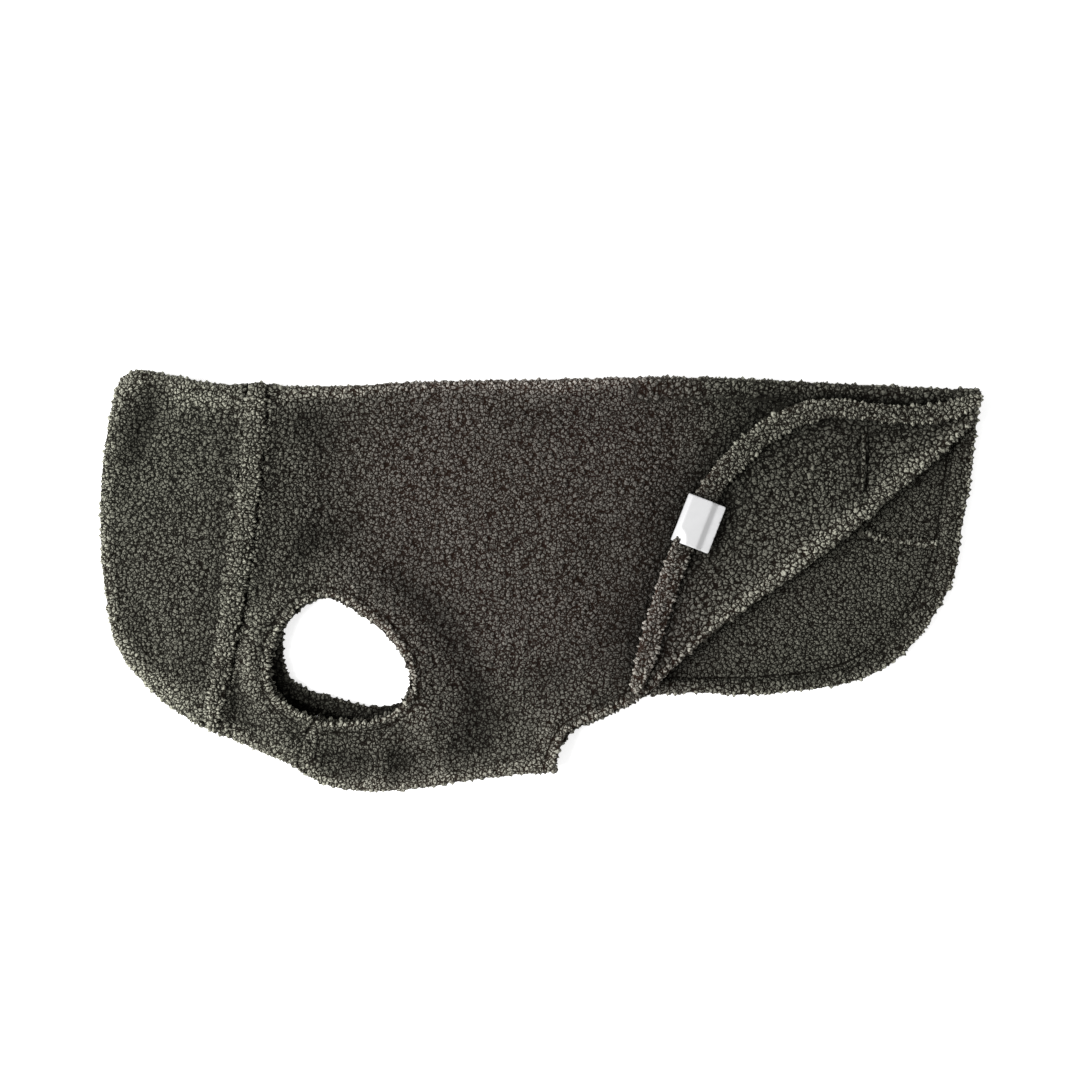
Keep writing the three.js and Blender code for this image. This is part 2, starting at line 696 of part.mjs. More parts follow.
const flap = flapFaces();
const rearHemTop = rearHemNearFace(1);
const onFlap = (x, y) => heightOver(flap.insideFace.map((row) => row.slice(BEND_STEPS + 1)), x, y);
const farHemHeight = (x, y, level) => FAR_TOP + GAP + level * HEM;
const lining = bodyRows.map((row) => tubeLoop(row, CLOTH, nearTop, SIDE_STEPS.body)).reverse();
const nearLining = lining.map((loop) => loop.slice(0, SIDE_STEPS.body + 1));
const underNear = (x, y) => heightOver(nearLining, x, y);
const nearHemHeight = (x, y, level) => underNear(x, y) - SEAT - level * HEM;
const bellyPart = rearHemLine.filter(({ x, y }) => y > BELLY_HEM_START && x < HEM_TURN);
const rearPart = rearHemLine.filter(({ x, y }) => y < TAIL_HEM_END && x > HEM_TURN);

const bellyWidth = () => BELLY_HEM;

const pieces = [
  { name: "collar", geometry: makeCollar(), material: fleece },
  { name: "neck_seam", geometry: makeNeckSeam(), material: fleeceEdge },
  { name: "body", geometry: makeBody(flap), material: fleece },
  { name: "leg_hem_near", geometry: legHem(nearLegEdge, nearHemHeight), material: fleeceEdge },
  { name: "leg_hem_far", geometry: legHem(farLegEdge, farHemHeight), material: fleeceEdge },
  { name: "belly_hem_near", geometry: hemUnderNear(bellyPart, bellyWidth, underNear), material: fleeceEdge },
  { name: "belly_hem_far", geometry: hemOnFar(bellyPart, bellyWidth), material: fleeceEdge },
  { name: "rear_hem_near", geometry: thickSheet(rearHemTop, rearHemNearFace(0)), material: fleeceEdge },
  { name: "rear_hem_far", geometry: hemOnFar(rearPart, rearHemWidth), material: fleeceEdge },
  { name: "dart_near", geometry: makeDart(nearDartRows, onFlap), material: fleeceEdge },
  { name: "dart_far", geometry: makeDart(farDartRows, () => FAR_TOP), material: fleeceEdge },
  { name: "label", geometry: makeLabel(flap.insideFace, rearHemTop), material: satin },
];

const group = new THREE.Group();
for (const { name, geometry, material } of pieces) {
  const mesh = new THREE.Mesh(geometry, material);
  mesh.name = name;
  group.add(mesh);
}

// The origin is on the floor under the middle of the garment's box.
const middle = new THREE.Box3().setFromObject(group).getCenter(new THREE.Vector3());
group.position.set(-middle.x, -middle.y, 0);

export default group;
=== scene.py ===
"""Finishes a dog sweater in teddy fleece, laid out flat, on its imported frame.

Each fleece piece is a thin shell on its node's form, drawn in along its stitches and laid in a few soft
creases. A skin of curled pile stands on what shows of it. The stage is a pale floor with soft light.
"""

import json
import math

import bmesh
import bpy
import numpy as np
from bpy.props import FloatProperty, FloatVectorProperty, PointerProperty
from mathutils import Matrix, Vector, noise
from mathutils.bvhtree import BVHTree

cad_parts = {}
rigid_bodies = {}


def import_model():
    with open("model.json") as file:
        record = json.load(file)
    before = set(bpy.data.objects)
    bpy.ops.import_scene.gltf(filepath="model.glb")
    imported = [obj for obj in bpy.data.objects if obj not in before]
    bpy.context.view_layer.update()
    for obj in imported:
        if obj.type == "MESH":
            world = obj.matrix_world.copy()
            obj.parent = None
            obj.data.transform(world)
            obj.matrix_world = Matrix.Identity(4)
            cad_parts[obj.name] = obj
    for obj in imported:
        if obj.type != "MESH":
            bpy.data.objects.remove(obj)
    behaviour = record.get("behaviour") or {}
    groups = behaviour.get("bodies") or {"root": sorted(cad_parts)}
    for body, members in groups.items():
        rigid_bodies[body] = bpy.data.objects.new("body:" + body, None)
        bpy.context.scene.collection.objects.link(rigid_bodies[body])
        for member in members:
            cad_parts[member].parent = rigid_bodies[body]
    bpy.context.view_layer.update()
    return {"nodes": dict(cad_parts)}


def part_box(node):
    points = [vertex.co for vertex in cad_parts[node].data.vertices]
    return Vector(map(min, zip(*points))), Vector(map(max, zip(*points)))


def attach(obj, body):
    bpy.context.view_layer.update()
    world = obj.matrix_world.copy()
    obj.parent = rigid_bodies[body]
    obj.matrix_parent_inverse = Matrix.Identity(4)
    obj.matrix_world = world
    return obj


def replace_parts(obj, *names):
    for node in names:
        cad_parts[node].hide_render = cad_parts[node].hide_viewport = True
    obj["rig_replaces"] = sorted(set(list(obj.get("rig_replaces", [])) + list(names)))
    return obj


bl_info = {
    "name": "Dog Sweater",
    "version": (1, 0, 0),
    "blender": (4, 5, 0),
    "location": "3D View > Sidebar > Dog Sweater",
    "description": "Fleece, seams, pile, label and stage of a dog sweater laid out flat",
    "category": "Add Mesh",
}

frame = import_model()

MM = 0.001
ROOT = "root"
UP = Vector((0, 0, 1))

# Distances to these, in millimetres, are written on each shell, up to OUT_OF_REACH.
STITCH_LINES = ("leg_line", "belly_line", "chest_line", "rear_line")
OUT_OF_REACH = 9

# ---------- where the cloth is stitched and creased ----------

# Edge of the near leg opening, in millimetres.
LEG_EDGE = (
    (-106.4, -8.9), (-89.4, -17.9), (-73.9, -31.4), (-65.2, -49.6), (-73.4, -65),
    (-94.4, -69.4), (-118.4, -66), (-132.9, -52.6), (-131.9, -32.6), (-120.9, -15.6),
)
LEG_HEM = 7
# Edge of the near side behind the belly, up to the turned-back quarter.
BELLY_EDGE = (
    (7.1, -97.5), (9.2, -85.5), (14.6, -75.4), (30.6, -68.4), (43.6, -62.2), (51, -58.5),
)
BELLY_HEM = 6.5
# Seam between the ends of the body, from the leg opening past the belly line.
CHEST_SEAM = ((-105.4, -51.6), (-112.4, -69.6), (-118.4, -78.6), (-120.9, -87.6), (-122.9, -109.6))
# Stitching of the far side's rear edge, which shows on its inner face.
REAR_SEAM = (
    (204.9, 86), (203.4, 70), (200.9, 50), (197.9, 30), (194.9, 12), (189.5, -2.6), (177, -22.4),
    (163.5, -34.9), (147.6, -43.9), (127.8, -47.2), (100, -49.2), (60, -49.2),
)

# Edges of the body and of the collar along the neck seam.
BODY_AT_NECK = ((-135.3, 97.7), (-138.6, 54), (-144, 10.4), (-151.4, -33.2), (-160.7, -76.9))
COLLAR_AT_NECK = ((-146.2, 97.9), (-149.8, 55), (-154.7, 12.2), (-160.8, -30.7), (-168.2, -73.5))
# How far each is drawn under the roll, how far the sides of the chest seam are drawn together, and how near
# such a line a shell keeps its node's form, in millimetres.
NECK_OVERLAP = 0.4
SEAM_OVERLAP = 0.4
TIGHT_REACH = 3.5

# Soft creases of the near side: each a line of x, y, rise and reach, in millimetres.
CREASES = {
    "ridge in front of the leg opening": (
        (-127, 32, 0, 4), (-127, 8, 1.3, 4.5), (-133, -12, 1.2, 5), (-146, -32, 1.6, 5),
        (-144, -56, 1.8, 5.5), (-133, -76, 1.6, 5.5), (-124, -88, 0.6, 5),
    ),
    "trough behind the neck seam": (
        (-143, 10, 0, 3), (-150, -24, -1.6, 3.2), (-154, -50, -1.8, 3.4), (-152, -66, -1, 3),
    ),
    "trough behind the leg opening": (
        (-96, 8, 0, 7), (-80, 1, -0.8, 8), (-61, -11, -1, 9), (-46, -28, -1.1, 9),
        (-37, -50, -0.9, 9), (-33, -70, -0.5, 8), (-31, -84, 0, 6),
    ),
    "ridge behind the leg opening": (
        (-63, -58, 0, 5), (-59, -70, 1.2, 6), (-53, -84, 1.6, 6), (-49, -97, 0.6, 5),
    ),
    "ridge on the chest": ((-80, -76, 0, 3), (-80, -88, 1.2, 3.4), (-81, -100, 1.4, 3.8)),
    "trough on the chest": ((-71, -76, 0, 4), (-71, -88, -1.2, 4.5), (-73, -100, -0.8, 4)),
    "ridge behind the chest seam": ((-108, -72, 0.4, 3), (-113, -82, 1.2, 3.2), (-115, -96, 1.2, 3.4)),
    "swell along the back": ((-110, 66, 0, 20), (-50, 60, 1.6, 24), (20, 66, 0.8, 22), (52, 60, 0, 18)),
    "swell over the ribs": ((-34, -8, 0, 16), (-6, -16, 1.8, 20), (20, -30, 1.2, 18), (34, -44, 0, 12)),
}
COLLAR_CREASES = {
    "trough behind the free edge": (
        (-189, 106, -1.6, 8), (-194, 88, -2.8, 8.5), (-201, 66, -1.8, 6.5), (-204, 42, 0, 5),
    ),
    "roll of the free edge": ((-214, 60, 0.4, 5), (-218, 20, 1, 5), (-215, -20, 1, 5), (-205, -46, 0.8, 5)),
    "trough at the throat": (
        (-206, 4, 0, 6), (-200, -14, -1.4, 7), (-193, -32, -0.6, 6), (-187, -44, 0, 5),
    ),
}

# Lines of painted light where the pile lies on folds and edges, and of painted shade below 0: each a line
# of x, y, how much and reach, in millimetres.
BODY_PAINTED_LIGHT_AND_SHADE = {
    "fold of the turned-back quarter": (
        (36, -65, 0.8, 4), (62, -48, 1.5, 4.6), (132, 11, 1.7, 5), (198, 67, 1.5, 4.6), (223, 89, 1, 4),
    ),
    "rim of the leg opening": tuple((x, y, -1.6, 3) for x, y in LEG_EDGE + LEG_EDGE[:1]),
    "chest": ((-124, -84, -0.6, 11), (-70, -92, -0.6, 12), (-36, -96, -0.3, 10)),
    "below the back": (
        (-122, 82, -0.7, 13), (0, 80, -0.7, 14), (60, 80, -0.6, 12), (100, 80, -0.3, 11),
    ),
    "in front of the leg opening": ((-136, -20, -0.3, 7), (-147, -45, -0.5, 8), (-140, -66, -0.4, 7)),
}
BACK_PAINTED_SHADE = {
    "back": (
        (-110, 96, -0.7, 6), (0, 96, -0.7, 6), (100, 95, -0.8, 6), (125, 92, -1.4, 8), (215, 90, -1.2, 8),
    ),
}
COLLAR_PAINTED_LIGHT_AND_SHADE = {
    "free edge": (
        (-213, 100, 0.3, 6), (-221, 60, 0.9, 8), (-222, 0, 1.1, 8),
        (-212, -46, 1.1, 8), (-190, -72, 0.6, 8),
    ),
    "trough behind the free edge": ((-189, 104, -0.6, 7), (-195, 86, -0.8, 8), (-201, 66, -0.5, 7)),
}


def number(name, default, description, **more):
    return FloatProperty(name=name, description=description, default=default, **more)


def length(name, default, description):
    """A size in metres."""
    return number(name, default, description, unit="LENGTH")


def colour(name, default, description):
    more = {"subtype": "COLOR", "size": 3, "default": default}
    return FloatVectorProperty(name=name, description=description, **more)


class PileSettings(bpy.types.PropertyGroup):
    """Sizes of the curls of pile"""

    pitch: length("Pitch", 2.2 * MM, "From one curl to the next")
    height: length("Height", 1.6 * MM, "Height of a curl")
    coarser: number("Coarser inside", 0.2, "How much larger the inner face's curls are", min=0, max=0.5)
    bent: length("Bent", 0.9 * MM, "How far a curl leans out of its place")


class FleeceSettings(bpy.types.PropertyGroup):
    """Sizes and colours of the fleece"""

    sunk: length("Sunk", 0.8 * MM, "How far the backing lies inside the form, to leave room for the pile")
    # The roots' colours are painted shade: near black, for the shade deep between the curls.
    painted_root_shade: colour("Roots", (0.0015, 0.0013, 0.001), "Between the curls")
    warm_painted_root_shade: colour("Warm roots", (0.0085, 0.003, 0.0015), "Between the curls on the flank")
    crest_colour: colour("Crests", (0.156, 0.157, 0.126), "Tops of the curls")
    warm_colour: colour("Warm crests", (0.164, 0.155, 0.14), "Tops of the curls on the flank")
    sheen: number("Sheen", 0.06, "Light on the fibre seen at a slant", min=0, max=1, subtype="FACTOR")


class LabelSettings(bpy.types.PropertyGroup):
    """Finish of the satin label"""

    tape: colour("Satin", (0.58, 0.58, 0.585), "Colour of the tape")


class StageSettings(bpy.types.PropertyGroup):
    """Camera, floor and light"""

    lens: number("Lens", 85, "Focal length in millimetres", min=20)
    view_width: length("View width", 0.54, "Width of the floor that the camera sees")
    centre: FloatVectorProperty(
        name="Centre", description="Where on the floor the camera looks", size=2, default=(-0.0009, 0.0197),
        subtype="XYZ",
    )
    floor_colour: colour("Floor", (0.86, 0.86, 0.86), "Colour of the floor")
    floor_glow: number("Floor glow", 0.75, "Light of the floor itself", min=0)
    key_power: number("Key light", 30, "Power of the large lamp", unit="POWER")
    fill: number("Fill light", 0.5, "Strength of the light all round", min=0)


# ---------- node trees ----------

MIDDLE_GREY = (0.5, 0.5, 0.5)


class Value:
    """A socket of a node tree that takes part in an expression and adds Math nodes."""

    def __init__(self, tree, socket):
        self.tree = tree
        self.socket = socket

    def math(self, operation, *values):
        """A Math node on this and the values."""
        sockets = dict(enumerate((self, *values)))
        return self.tree.add("ShaderNodeMath", {"operation": operation}, sockets)

    def __add__(self, other):
        return self.math("ADD", other)

    __radd__ = __add__

    def __sub__(self, other):
        return self.math("SUBTRACT", other)

    def __rsub__(self, other):
        return self.tree.add("ShaderNodeMath", {"operation": "SUBTRACT"}, {0: other, 1: self})

    def __mul__(self, other):
        return self.math("MULTIPLY", other)

    __rmul__ = __mul__

    def __truediv__(self, other):
        return self.math("DIVIDE", other)

    def __pow__(self, other):
        return self.math("POWER", other)

    def vector(self, operation, *values, output=0):
        """A Vector Math node on this and the values."""
        sockets = dict(enumerate((self, *values)))
        return self.tree.add("ShaderNodeVectorMath", {"operation": operation}, sockets, output)

    def scaled(self, factor):
        """This vector times a number."""
        return self.tree.add("ShaderNodeVectorMath", {"operation": "SCALE"}, {0: self, "Scale": factor})

    def along(self, axis):
        """This vector's part along an axis."""
        return self.tree.add("ShaderNodeSeparateXYZ", values={0: self}, output=axis)

    def absolute(self):
        return self.math("ABSOLUTE")

    def least(self, other):
        return self.math("MINIMUM", other)

    def clamped(self):
        return self.math("MAXIMUM", 0).least(1)

    def between(self, low, high):
        """1 between two values and 0 beyond them."""
        return self.math("GREATER_THAN", low) * self.math("LESS_THAN", high)

    def step(self, low, high):
        """0 below low, 1 above high and smooth between them."""
        settings = {"interpolation_type": "SMOOTHSTEP"}
        sockets = {"Value": self, "From Min": low, "From Max": high}
        return self.tree.add("ShaderNodeMapRange", settings, sockets)


class Nodes:
    """Adds nodes to a tree."""

    def __init__(self, tree):
        self.tree = tree

    def add(self, kind, settings=None, values=None, output=0):
        """A node of a type. Its settings are set first, then its sockets, and output is what it gives."""
        node = self.tree.nodes.new(kind)
        for name, setting in (settings or {}).items():
            setattr(node, name, setting)
        for name, value in (values or {}).items():
            socket = node.inputs[name]
            if isinstance(value, Value):
                self.tree.links.new(value.socket, socket)
            else:
                socket.default_value = value
        return Value(self, node.outputs[output]) if node.outputs else node

    def noise(self, place, scale, detail, output=0, **more):
        """Noise of so many turns for each metre."""
        sockets = {"Vector": place, "Scale": scale, "Detail": detail} | more
        return self.add("ShaderNodeTexNoise", values=sockets, output=output)

    def bent(self, place, scale, reach):
        """The place, moved by noise."""
        bend = self.noise(place, scale, 1, output="Color")
        return place.vector("ADD", bend.vector("SUBTRACT", MIDDLE_GREY).scaled(reach))

    def cell_sides(self, place, pitch, random):
        """How far a place is from the side of its cell, as a share of the pitch."""
        sockets = {"Vector": place, "Scale": 1 / pitch, "Randomness": random}
        return self.add("ShaderNodeTexVoronoi", {"feature": "DISTANCE_TO_EDGE"}, sockets, "Distance")

    def attribute(self, name, output="Fac"):
        """A named attribute, in a material."""
        return self.add("ShaderNodeAttribute", {"attribute_name": name}, output=output)

    def on_object(self):
        """The place on the object."""
        return self.add("ShaderNodeTexCoord", output="Object")

    def read(self, name, kind="FLOAT"):
        """A named attribute, in Geometry Nodes."""
        return self.add("GeometryNodeInputNamedAttribute", {"data_type": kind}, {"Name": name})

    def store(self, geometry, name, value, kind="FLOAT"):
        """The geometry with a named attribute on its points, in Geometry Nodes."""
        settings = {"data_type": kind, "domain": "POINT"}
        sockets = {0: geometry, "Name": name, "Value": value}
        return self.add("GeometryNodeStoreNamedAttribute", settings, sockets)

    def keep(self, geometry, wanted):
        """The faces where wanted is 1, in Geometry Nodes."""
        return self.add("GeometryNodeDeleteGeometry", {"domain": "FACE"}, {0: geometry, 1: 1 - wanted})

    def mix(self, factor, first, second):
        """Between two colours."""
        values = {"Factor": factor, 6: first, 7: second}
        return self.add("ShaderNodeMix", {"data_type": "RGBA"}, values, output=2)

    def tint(self, colour, shade):
        """A colour times a shade of grey."""
        values = {0: colour, "Scale": shade}
        return self.add("ShaderNodeVectorMath", {"operation": "SCALE"}, values)


def opaque(colour):
    return (*colour, 1)


def new_material(name):
    material = bpy.data.materials.new(name)
    material.use_nodes = True
    material.node_tree.nodes.clear()
    return material, Nodes(material.node_tree)


def close_material(nodes, settings, links):
    """Adds the shader with its plain settings and its links."""
    shader = nodes.add("ShaderNodeBsdfPrincipled", values=settings | links)
    nodes.add("ShaderNodeOutputMaterial", values={"Surface": shader})


# Scales of the noises in the fleece, from the broadest, for each metre.
WARM_PATCHES = 14
SHADE_PATCHES = 45
STITCH_BREAKS = 260
CURL_BENDS = 420
CURL_FOLDS = 520
GAP_WIDTHS = 650
TUFT_BENDS = 900
CURL_GRAIN = 1300
SPECK_GRAIN = 1400
FIBRES = 1500

FLEECE_FINISH = {
    "Sheen Roughness": 0.45,
    "Sheen Tint": (0.88, 0.84, 0.66, 1),
    "Specular Tint": (1, 0.96, 0.84, 1),
    "Specular IOR Level": 0.08,
}


# Where the flank's warm shade comes in and goes out along X, and comes in along Y, in metres.
FLANK_BEGINS = (-0.15, -0.05)
FLANK_ENDS = (0.05, 0.1)
FLANK_ABOVE = (-0.08, -0.01)


def warmth(nodes, place):
    """1 on the flank and 0 towards the collar and the tail, in uneven patches."""
    patches = nodes.noise(place, WARM_PATCHES, 2)
    back = place.along("X")
    flank = back.step(*FLANK_BEGINS) * (1 - back.step(*FLANK_ENDS) * 0.85)
    flank = flank * (0.4 + place.along("Y").step(*FLANK_ABOVE) * 0.6)
    return (flank * 0.9 + patches.step(0.35, 0.65) * 0.15).clamped()


FIBRE_DEPTH = 0.4 * MM


def fibre_bump(nodes, place, coarse, strength):
    """Fine curls of fibre, on a coarser height."""
    fine = nodes.noise(place, FIBRES, 2, Roughness=0.6)
    values = {"Strength": strength, "Distance": FIBRE_DEPTH, "Height": fine * 0.3 + coarse}
    return nodes.add("ShaderNodeBump", values=values)


# Curls reach deeper than they are wide: their depth is squeezed by this.
CURL_DEPTH = 0.35
# How far noise bends the sides of a curl and of the tufts in it.
CURL_BENT = 1.8 * MM
TUFT_BENT = 1 * MM
CURL_RANDOM = 0.96
TUFT_RANDOM = 0.9
# A tuft's size, as a share of the curl's, and how far in the swells of a curl and of a tuft reach.
TUFT_SIZE = 0.57
CURL_SWELL = 0.42
TUFT_SWELL = 0.3
# Gaps, as shares of a curl: the narrowest, and how much wider others are.
GAP = (0.14, 0.06)
# How much of a curl's rise is taken off between its tufts, and how much comes from its folds.
TUFT_DIP = 0.4
FOLD_SHARE = 0.15
FOLD_GAIN = 7
FOLD_POWER = 0.7
# How the painted light on a curl grows out of the painted shade of its gaps, with its rise and with the
# specks on it, up to painted glints on its crests.
CLEAR_POWER = 0.7
RISE_SHARE = (0.55, 0.3)
SPECK_SHARE = (0.4, 1.1)
SPECK_GAIN = 6
CREST_SHARE = 0.3
LIT_POWER = 1.7
LIT_GAIN = 1.25
# How wide stitching is, in millimetres, how much it darkens the pile, and how much more in places.
STITCH_WIDTH = (0.1, 0.9)
STITCH_SHADE = (0.35, 0.5)
# Over what range of its painted light mark, in millimetres, pile takes painted highlight or painted shade,
# and how much lighter or darker that makes it.
RIDGE_LIGHT_RANGE = (0.1, 2.2)
RIDGE_PAINTED_LIGHT = 1.3
TROUGH_SHADE_RANGE = (0.25, 1.3)
TROUGH_PAINTED_SHADE = 0.5


def curls(nodes, place, pile):
    """How far a place rises in its curl and is out of the gaps, and the curl's plain swell."""
    place = place.vector("MULTIPLY", (1, 1, CURL_DEPTH))
    bent = nodes.bent(place, CURL_BENDS, CURL_BENT)
    gap = nodes.cell_sides(bent, pile.pitch, CURL_RANDOM)
    width = GAP[0] + nodes.noise(place, GAP_WIDTHS, 0).step(0.36, 0.64) * GAP[1]
    clear = (gap / width).step(0, 1)
    tufts = nodes.bent(place, TUFT_BENDS, TUFT_BENT)
    split = nodes.cell_sides(tufts, TUFT_SIZE * pile.pitch, TUFT_RANDOM)
    clear = clear * (1 - TUFT_DIP + split.step(0, TUFT_SWELL) * TUFT_DIP)
    fold = nodes.noise(bent, CURL_FOLDS, 0)
    fold = ((fold - 0.5).absolute() * FOLD_GAIN).clamped()
    fine = nodes.noise(place, CURL_GRAIN, 2, Roughness=0.6)
    rise = clear * (1 - FOLD_SHARE) + fold**FOLD_POWER * FOLD_SHARE
    return rise * (0.65 + fine * 0.7), clear, gap.step(0, CURL_SWELL)


# Each dart's node: where in its box the stitching begins and ends, in shares of the box, how far apart its
# lines are and between which heights it shows, in millimetres.
DARTS = {
    "dart_near": ((0.5, 1), (0.5, 0), 1.6, (7, 30)),
    "dart_far": ((0, 0.55), (1, 0.02), 0, (0, 6)),
}


def dart_lines(nodes, lie):
    """Distance to the stitching of the darts, in millimetres."""
    nearest = None
    height = lie.along("Z")
    for node, (begin, end, apart, (lowest, highest)) in DARTS.items():
        low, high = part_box(node)
        start, stop = ([low[i] + (high[i] - low[i]) * share[i] for i in (0, 1)] for share in (begin, end))
        run = Vector((stop[0] - start[0], stop[1] - start[1], 0))
        offset = lie.vector("SUBTRACT", (*start, 0))
        along = offset.vector("DOT_PRODUCT", tuple(run.normalized()), output="Value")
        side = offset.vector("DOT_PRODUCT", tuple(run.normalized().cross(UP)), output="Value")
        away = (side.absolute() * (1 / MM) - apart).absolute()
        beside_run = along.math("COMPARE", run.length / 2, run.length / 2)
        within = height.between(lowest * MM, highest * MM)
        away = away + (1 - beside_run * within) * OUT_OF_REACH
        nearest = nearest.least(away) if nearest else away
    return nearest


def to_stitching(nodes, read, lie):
    """Distance to the nearest stitching, in millimetres. The function reads a named attribute."""
    away = dart_lines(nodes, lie)
    for name in STITCH_LINES:
        away = away.least(read(name).absolute())
    return away


def specks(nodes, place):
    """Ends of fibre, from 0 to 1. On the crests they also give painted glints."""
    grain = nodes.noise(place, SPECK_GRAIN, 1)
    return ((grain - 0.5) * SPECK_GAIN + 0.5).clamped()


def pile_material(fleece, pile):
    """Painted shade on the roots and painted light on the crests, from each curl's own rise."""
    material, nodes = new_material("fleece_pile")
    lie = nodes.attribute("lie", "Vector")
    place = nodes.attribute("pile_place", "Vector")
    rise, clear, _ = curls(nodes, place, pile)
    speck = specks(nodes, place)
    patches = nodes.noise(lie, SHADE_PATCHES, 2)
    risen = RISE_SHARE[0] + rise.step(0.15, 0.95) * RISE_SHARE[1]
    # Painted shade: darker into the gaps between curls and down each curl.
    lit = clear**CLEAR_POWER * risen
    lit = lit * (SPECK_SHARE[0] + speck * SPECK_SHARE[1])
    # Painted highlight: glints on the tops of the curls.
    lit = lit + rise.step(0.65, 1.1) * speck * CREST_SHARE
    stitched = to_stitching(nodes, nodes.attribute, lie)
    broken = nodes.noise(lie, STITCH_BREAKS, 0).step(0.36, 0.6)
    lit = lit * (1 - (1 - stitched.step(*STITCH_WIDTH)) * (STITCH_SHADE[0] + broken * STITCH_SHADE[1]))
    lit = lit**LIT_POWER * LIT_GAIN
    warm = warmth(nodes, lie)
    crest = nodes.mix(warm, opaque(fleece.crest_colour), opaque(fleece.warm_colour))
    root = nodes.mix(warm, opaque(fleece.painted_root_shade), opaque(fleece.warm_painted_root_shade))
    colour = nodes.mix(lit.clamped(), root, crest)
    # Painted light and shade: lighter on ridges, folds, turned edges and the outline, darker in troughs and
    # where much is hidden round the shell.
    painted_light_and_shade = nodes.attribute("painted_light_and_shade") + nodes.attribute("edged")
    ridge_and_trough_light = 1 + painted_light_and_shade.step(*RIDGE_LIGHT_RANGE) * RIDGE_PAINTED_LIGHT - (0 - painted_light_and_shade).step(*TROUGH_SHADE_RANGE) * TROUGH_PAINTED_SHADE
    shade = (0.95 + patches * 0.1) * ridge_and_trough_light * (1 - nodes.attribute("painted_shade"))
    links = {
        "Base Color": nodes.tint(colour, shade),
        "Roughness": 0.8 + speck * 0.15,
        "Normal": fibre_bump(nodes, place, rise, 1),
    }
    close_material(nodes, FLEECE_FINISH | {"Sheen Weight": fleece.sheen}, links)
    return material


def backing_material(fleece):
    """The fleece below its skin of pile, in the painted shade of the roots, and its pile as bumps where
    none stands.
    """
    material, nodes = new_material("fleece_backing")
    place = nodes.on_object()
    cells = nodes.add("ShaderNodeTexVoronoi", {"feature": "F1"}, {"Vector": place, "Scale": 430})
    fluff = nodes.noise(place, TUFT_BENDS, 3, Roughness=0.7)
    bare = 1 - nodes.attribute("pile").clamped()
    # Painted light on the middles of the cells and painted shade between them, where the fleece is bare.
    lit = ((1 - cells.step(0.15, 0.75)) * (0.5 + fluff * 0.6) * bare).clamped()
    crest = nodes.mix(warmth(nodes, place), opaque(fleece.crest_colour), opaque(fleece.warm_colour))
    colour = nodes.mix(lit * 0.6, opaque(fleece.painted_root_shade), crest)
    links = {
        "Base Color": colour,
        "Roughness": 0.82 + fluff * 0.16,
        "Normal": fibre_bump(nodes, place, 1 - cells.step(0.1, 0.9), 0.8),
    }
    close_material(nodes, FLEECE_FINISH | {"Sheen Weight": fleece.sheen}, links)
    return material


def satin_material(label, centre, turn):
    """White woven satin, with fine ribs along the tape."""
    material, nodes = new_material("label_satin")
    place = nodes.on_object()
    turned = {"Vector": place, "Location": centre, "Rotation": (0, 0, turn)}
    on_tape = nodes.add("ShaderNodeMapping", {"vector_type": "TEXTURE"}, turned)

    def weave(direction, scale, distortion):
        sockets = {"Vector": on_tape, "Scale": scale, "Distortion": distortion}
        return nodes.add("ShaderNodeTexWave", {"bands_direction": direction}, sockets, "Fac")

    ribs = weave("Y", 900, 0.4)
    threads = weave("X", 500, 0.6)
    cloudy = nodes.noise(place, 120, 3)
    shade = 0.86 + cloudy * 0.16 + ribs * 0.04
    weft = {"Strength": 0.25, "Distance": 0.1 * MM, "Height": ribs * 0.7 + threads * 0.3}
    bump = nodes.add("ShaderNodeBump", values=weft)
    links = {
        "Base Color": nodes.tint(tuple(label.tape), shade),
        "Roughness": 0.3 + cloudy * 0.2,
        "Normal": bump,
    }
    close_material(nodes, {"Sheen Weight": 0.2, "Specular IOR Level": 0.5}, links)
    return material


# ---------- shells on the nodes' forms ----------


def smooth_step(value, low, high):
    share = np.clip((value - low) / (high - low), 0, 1)
    return share * share * (3 - 2 * share)


def bell(away, reach):
    """1 on a line and falling off to its sides."""
    return np.exp(-((away / reach) ** 2))


def along_line(points, line, closed=False):
    """How far each place is to the left of a line in plan, and the line's other columns there."""
    line = np.array(line, float)
    if closed:
        line = np.vstack([line, line[:1]])
    plan = points[:, None, :2]
    start, span = line[None, :-1], np.diff(line, axis=0)[None]
    flat = span[..., :2]
    share = ((plan - start[..., :2]) * flat).sum(2) / (flat**2).sum(2)
    share = np.clip(share, 0, 1)[..., None]
    nearest = start + span * share
    offset = plan - nearest[..., :2]
    away = np.linalg.norm(offset, axis=2)
    side = np.sign(flat[..., 0] * offset[..., 1] - flat[..., 1] * offset[..., 0])
    best = away.argmin(1)
    row = np.arange(len(points))
    return (away * side)[row, best], nearest[row, best, 2:]


def rounded(line, closed=False, rounds=3):
    """The line again with its corners cut, so that it runs smoothly."""
    line = np.array(line, float)
    for _ in range(rounds):
        after = np.roll(line, -1, axis=0) if closed else line[1:]
        here = line if closed else line[:-1]
        cut = np.stack([here * 0.75 + after * 0.25, here * 0.25 + after * 0.75], axis=1)
        cut = cut.reshape(-1, line.shape[1])
        line = cut if closed else np.vstack([line[:1], cut, line[-1:]])
    return line


def beside(places, line, closed=False):
    """How far each place is to the left of a line with rounded corners."""
    return along_line(places, rounded(line, closed), closed)[0]


def crease_heights(points, creases):
    """How far the creases raise or lower each place, in millimetres."""
    total = np.zeros(len(points))
    for line in creases.values():
        away, columns = along_line(points, rounded(line))
        rise, reach = columns.T
        total += rise * bell(away, reach)
    return total


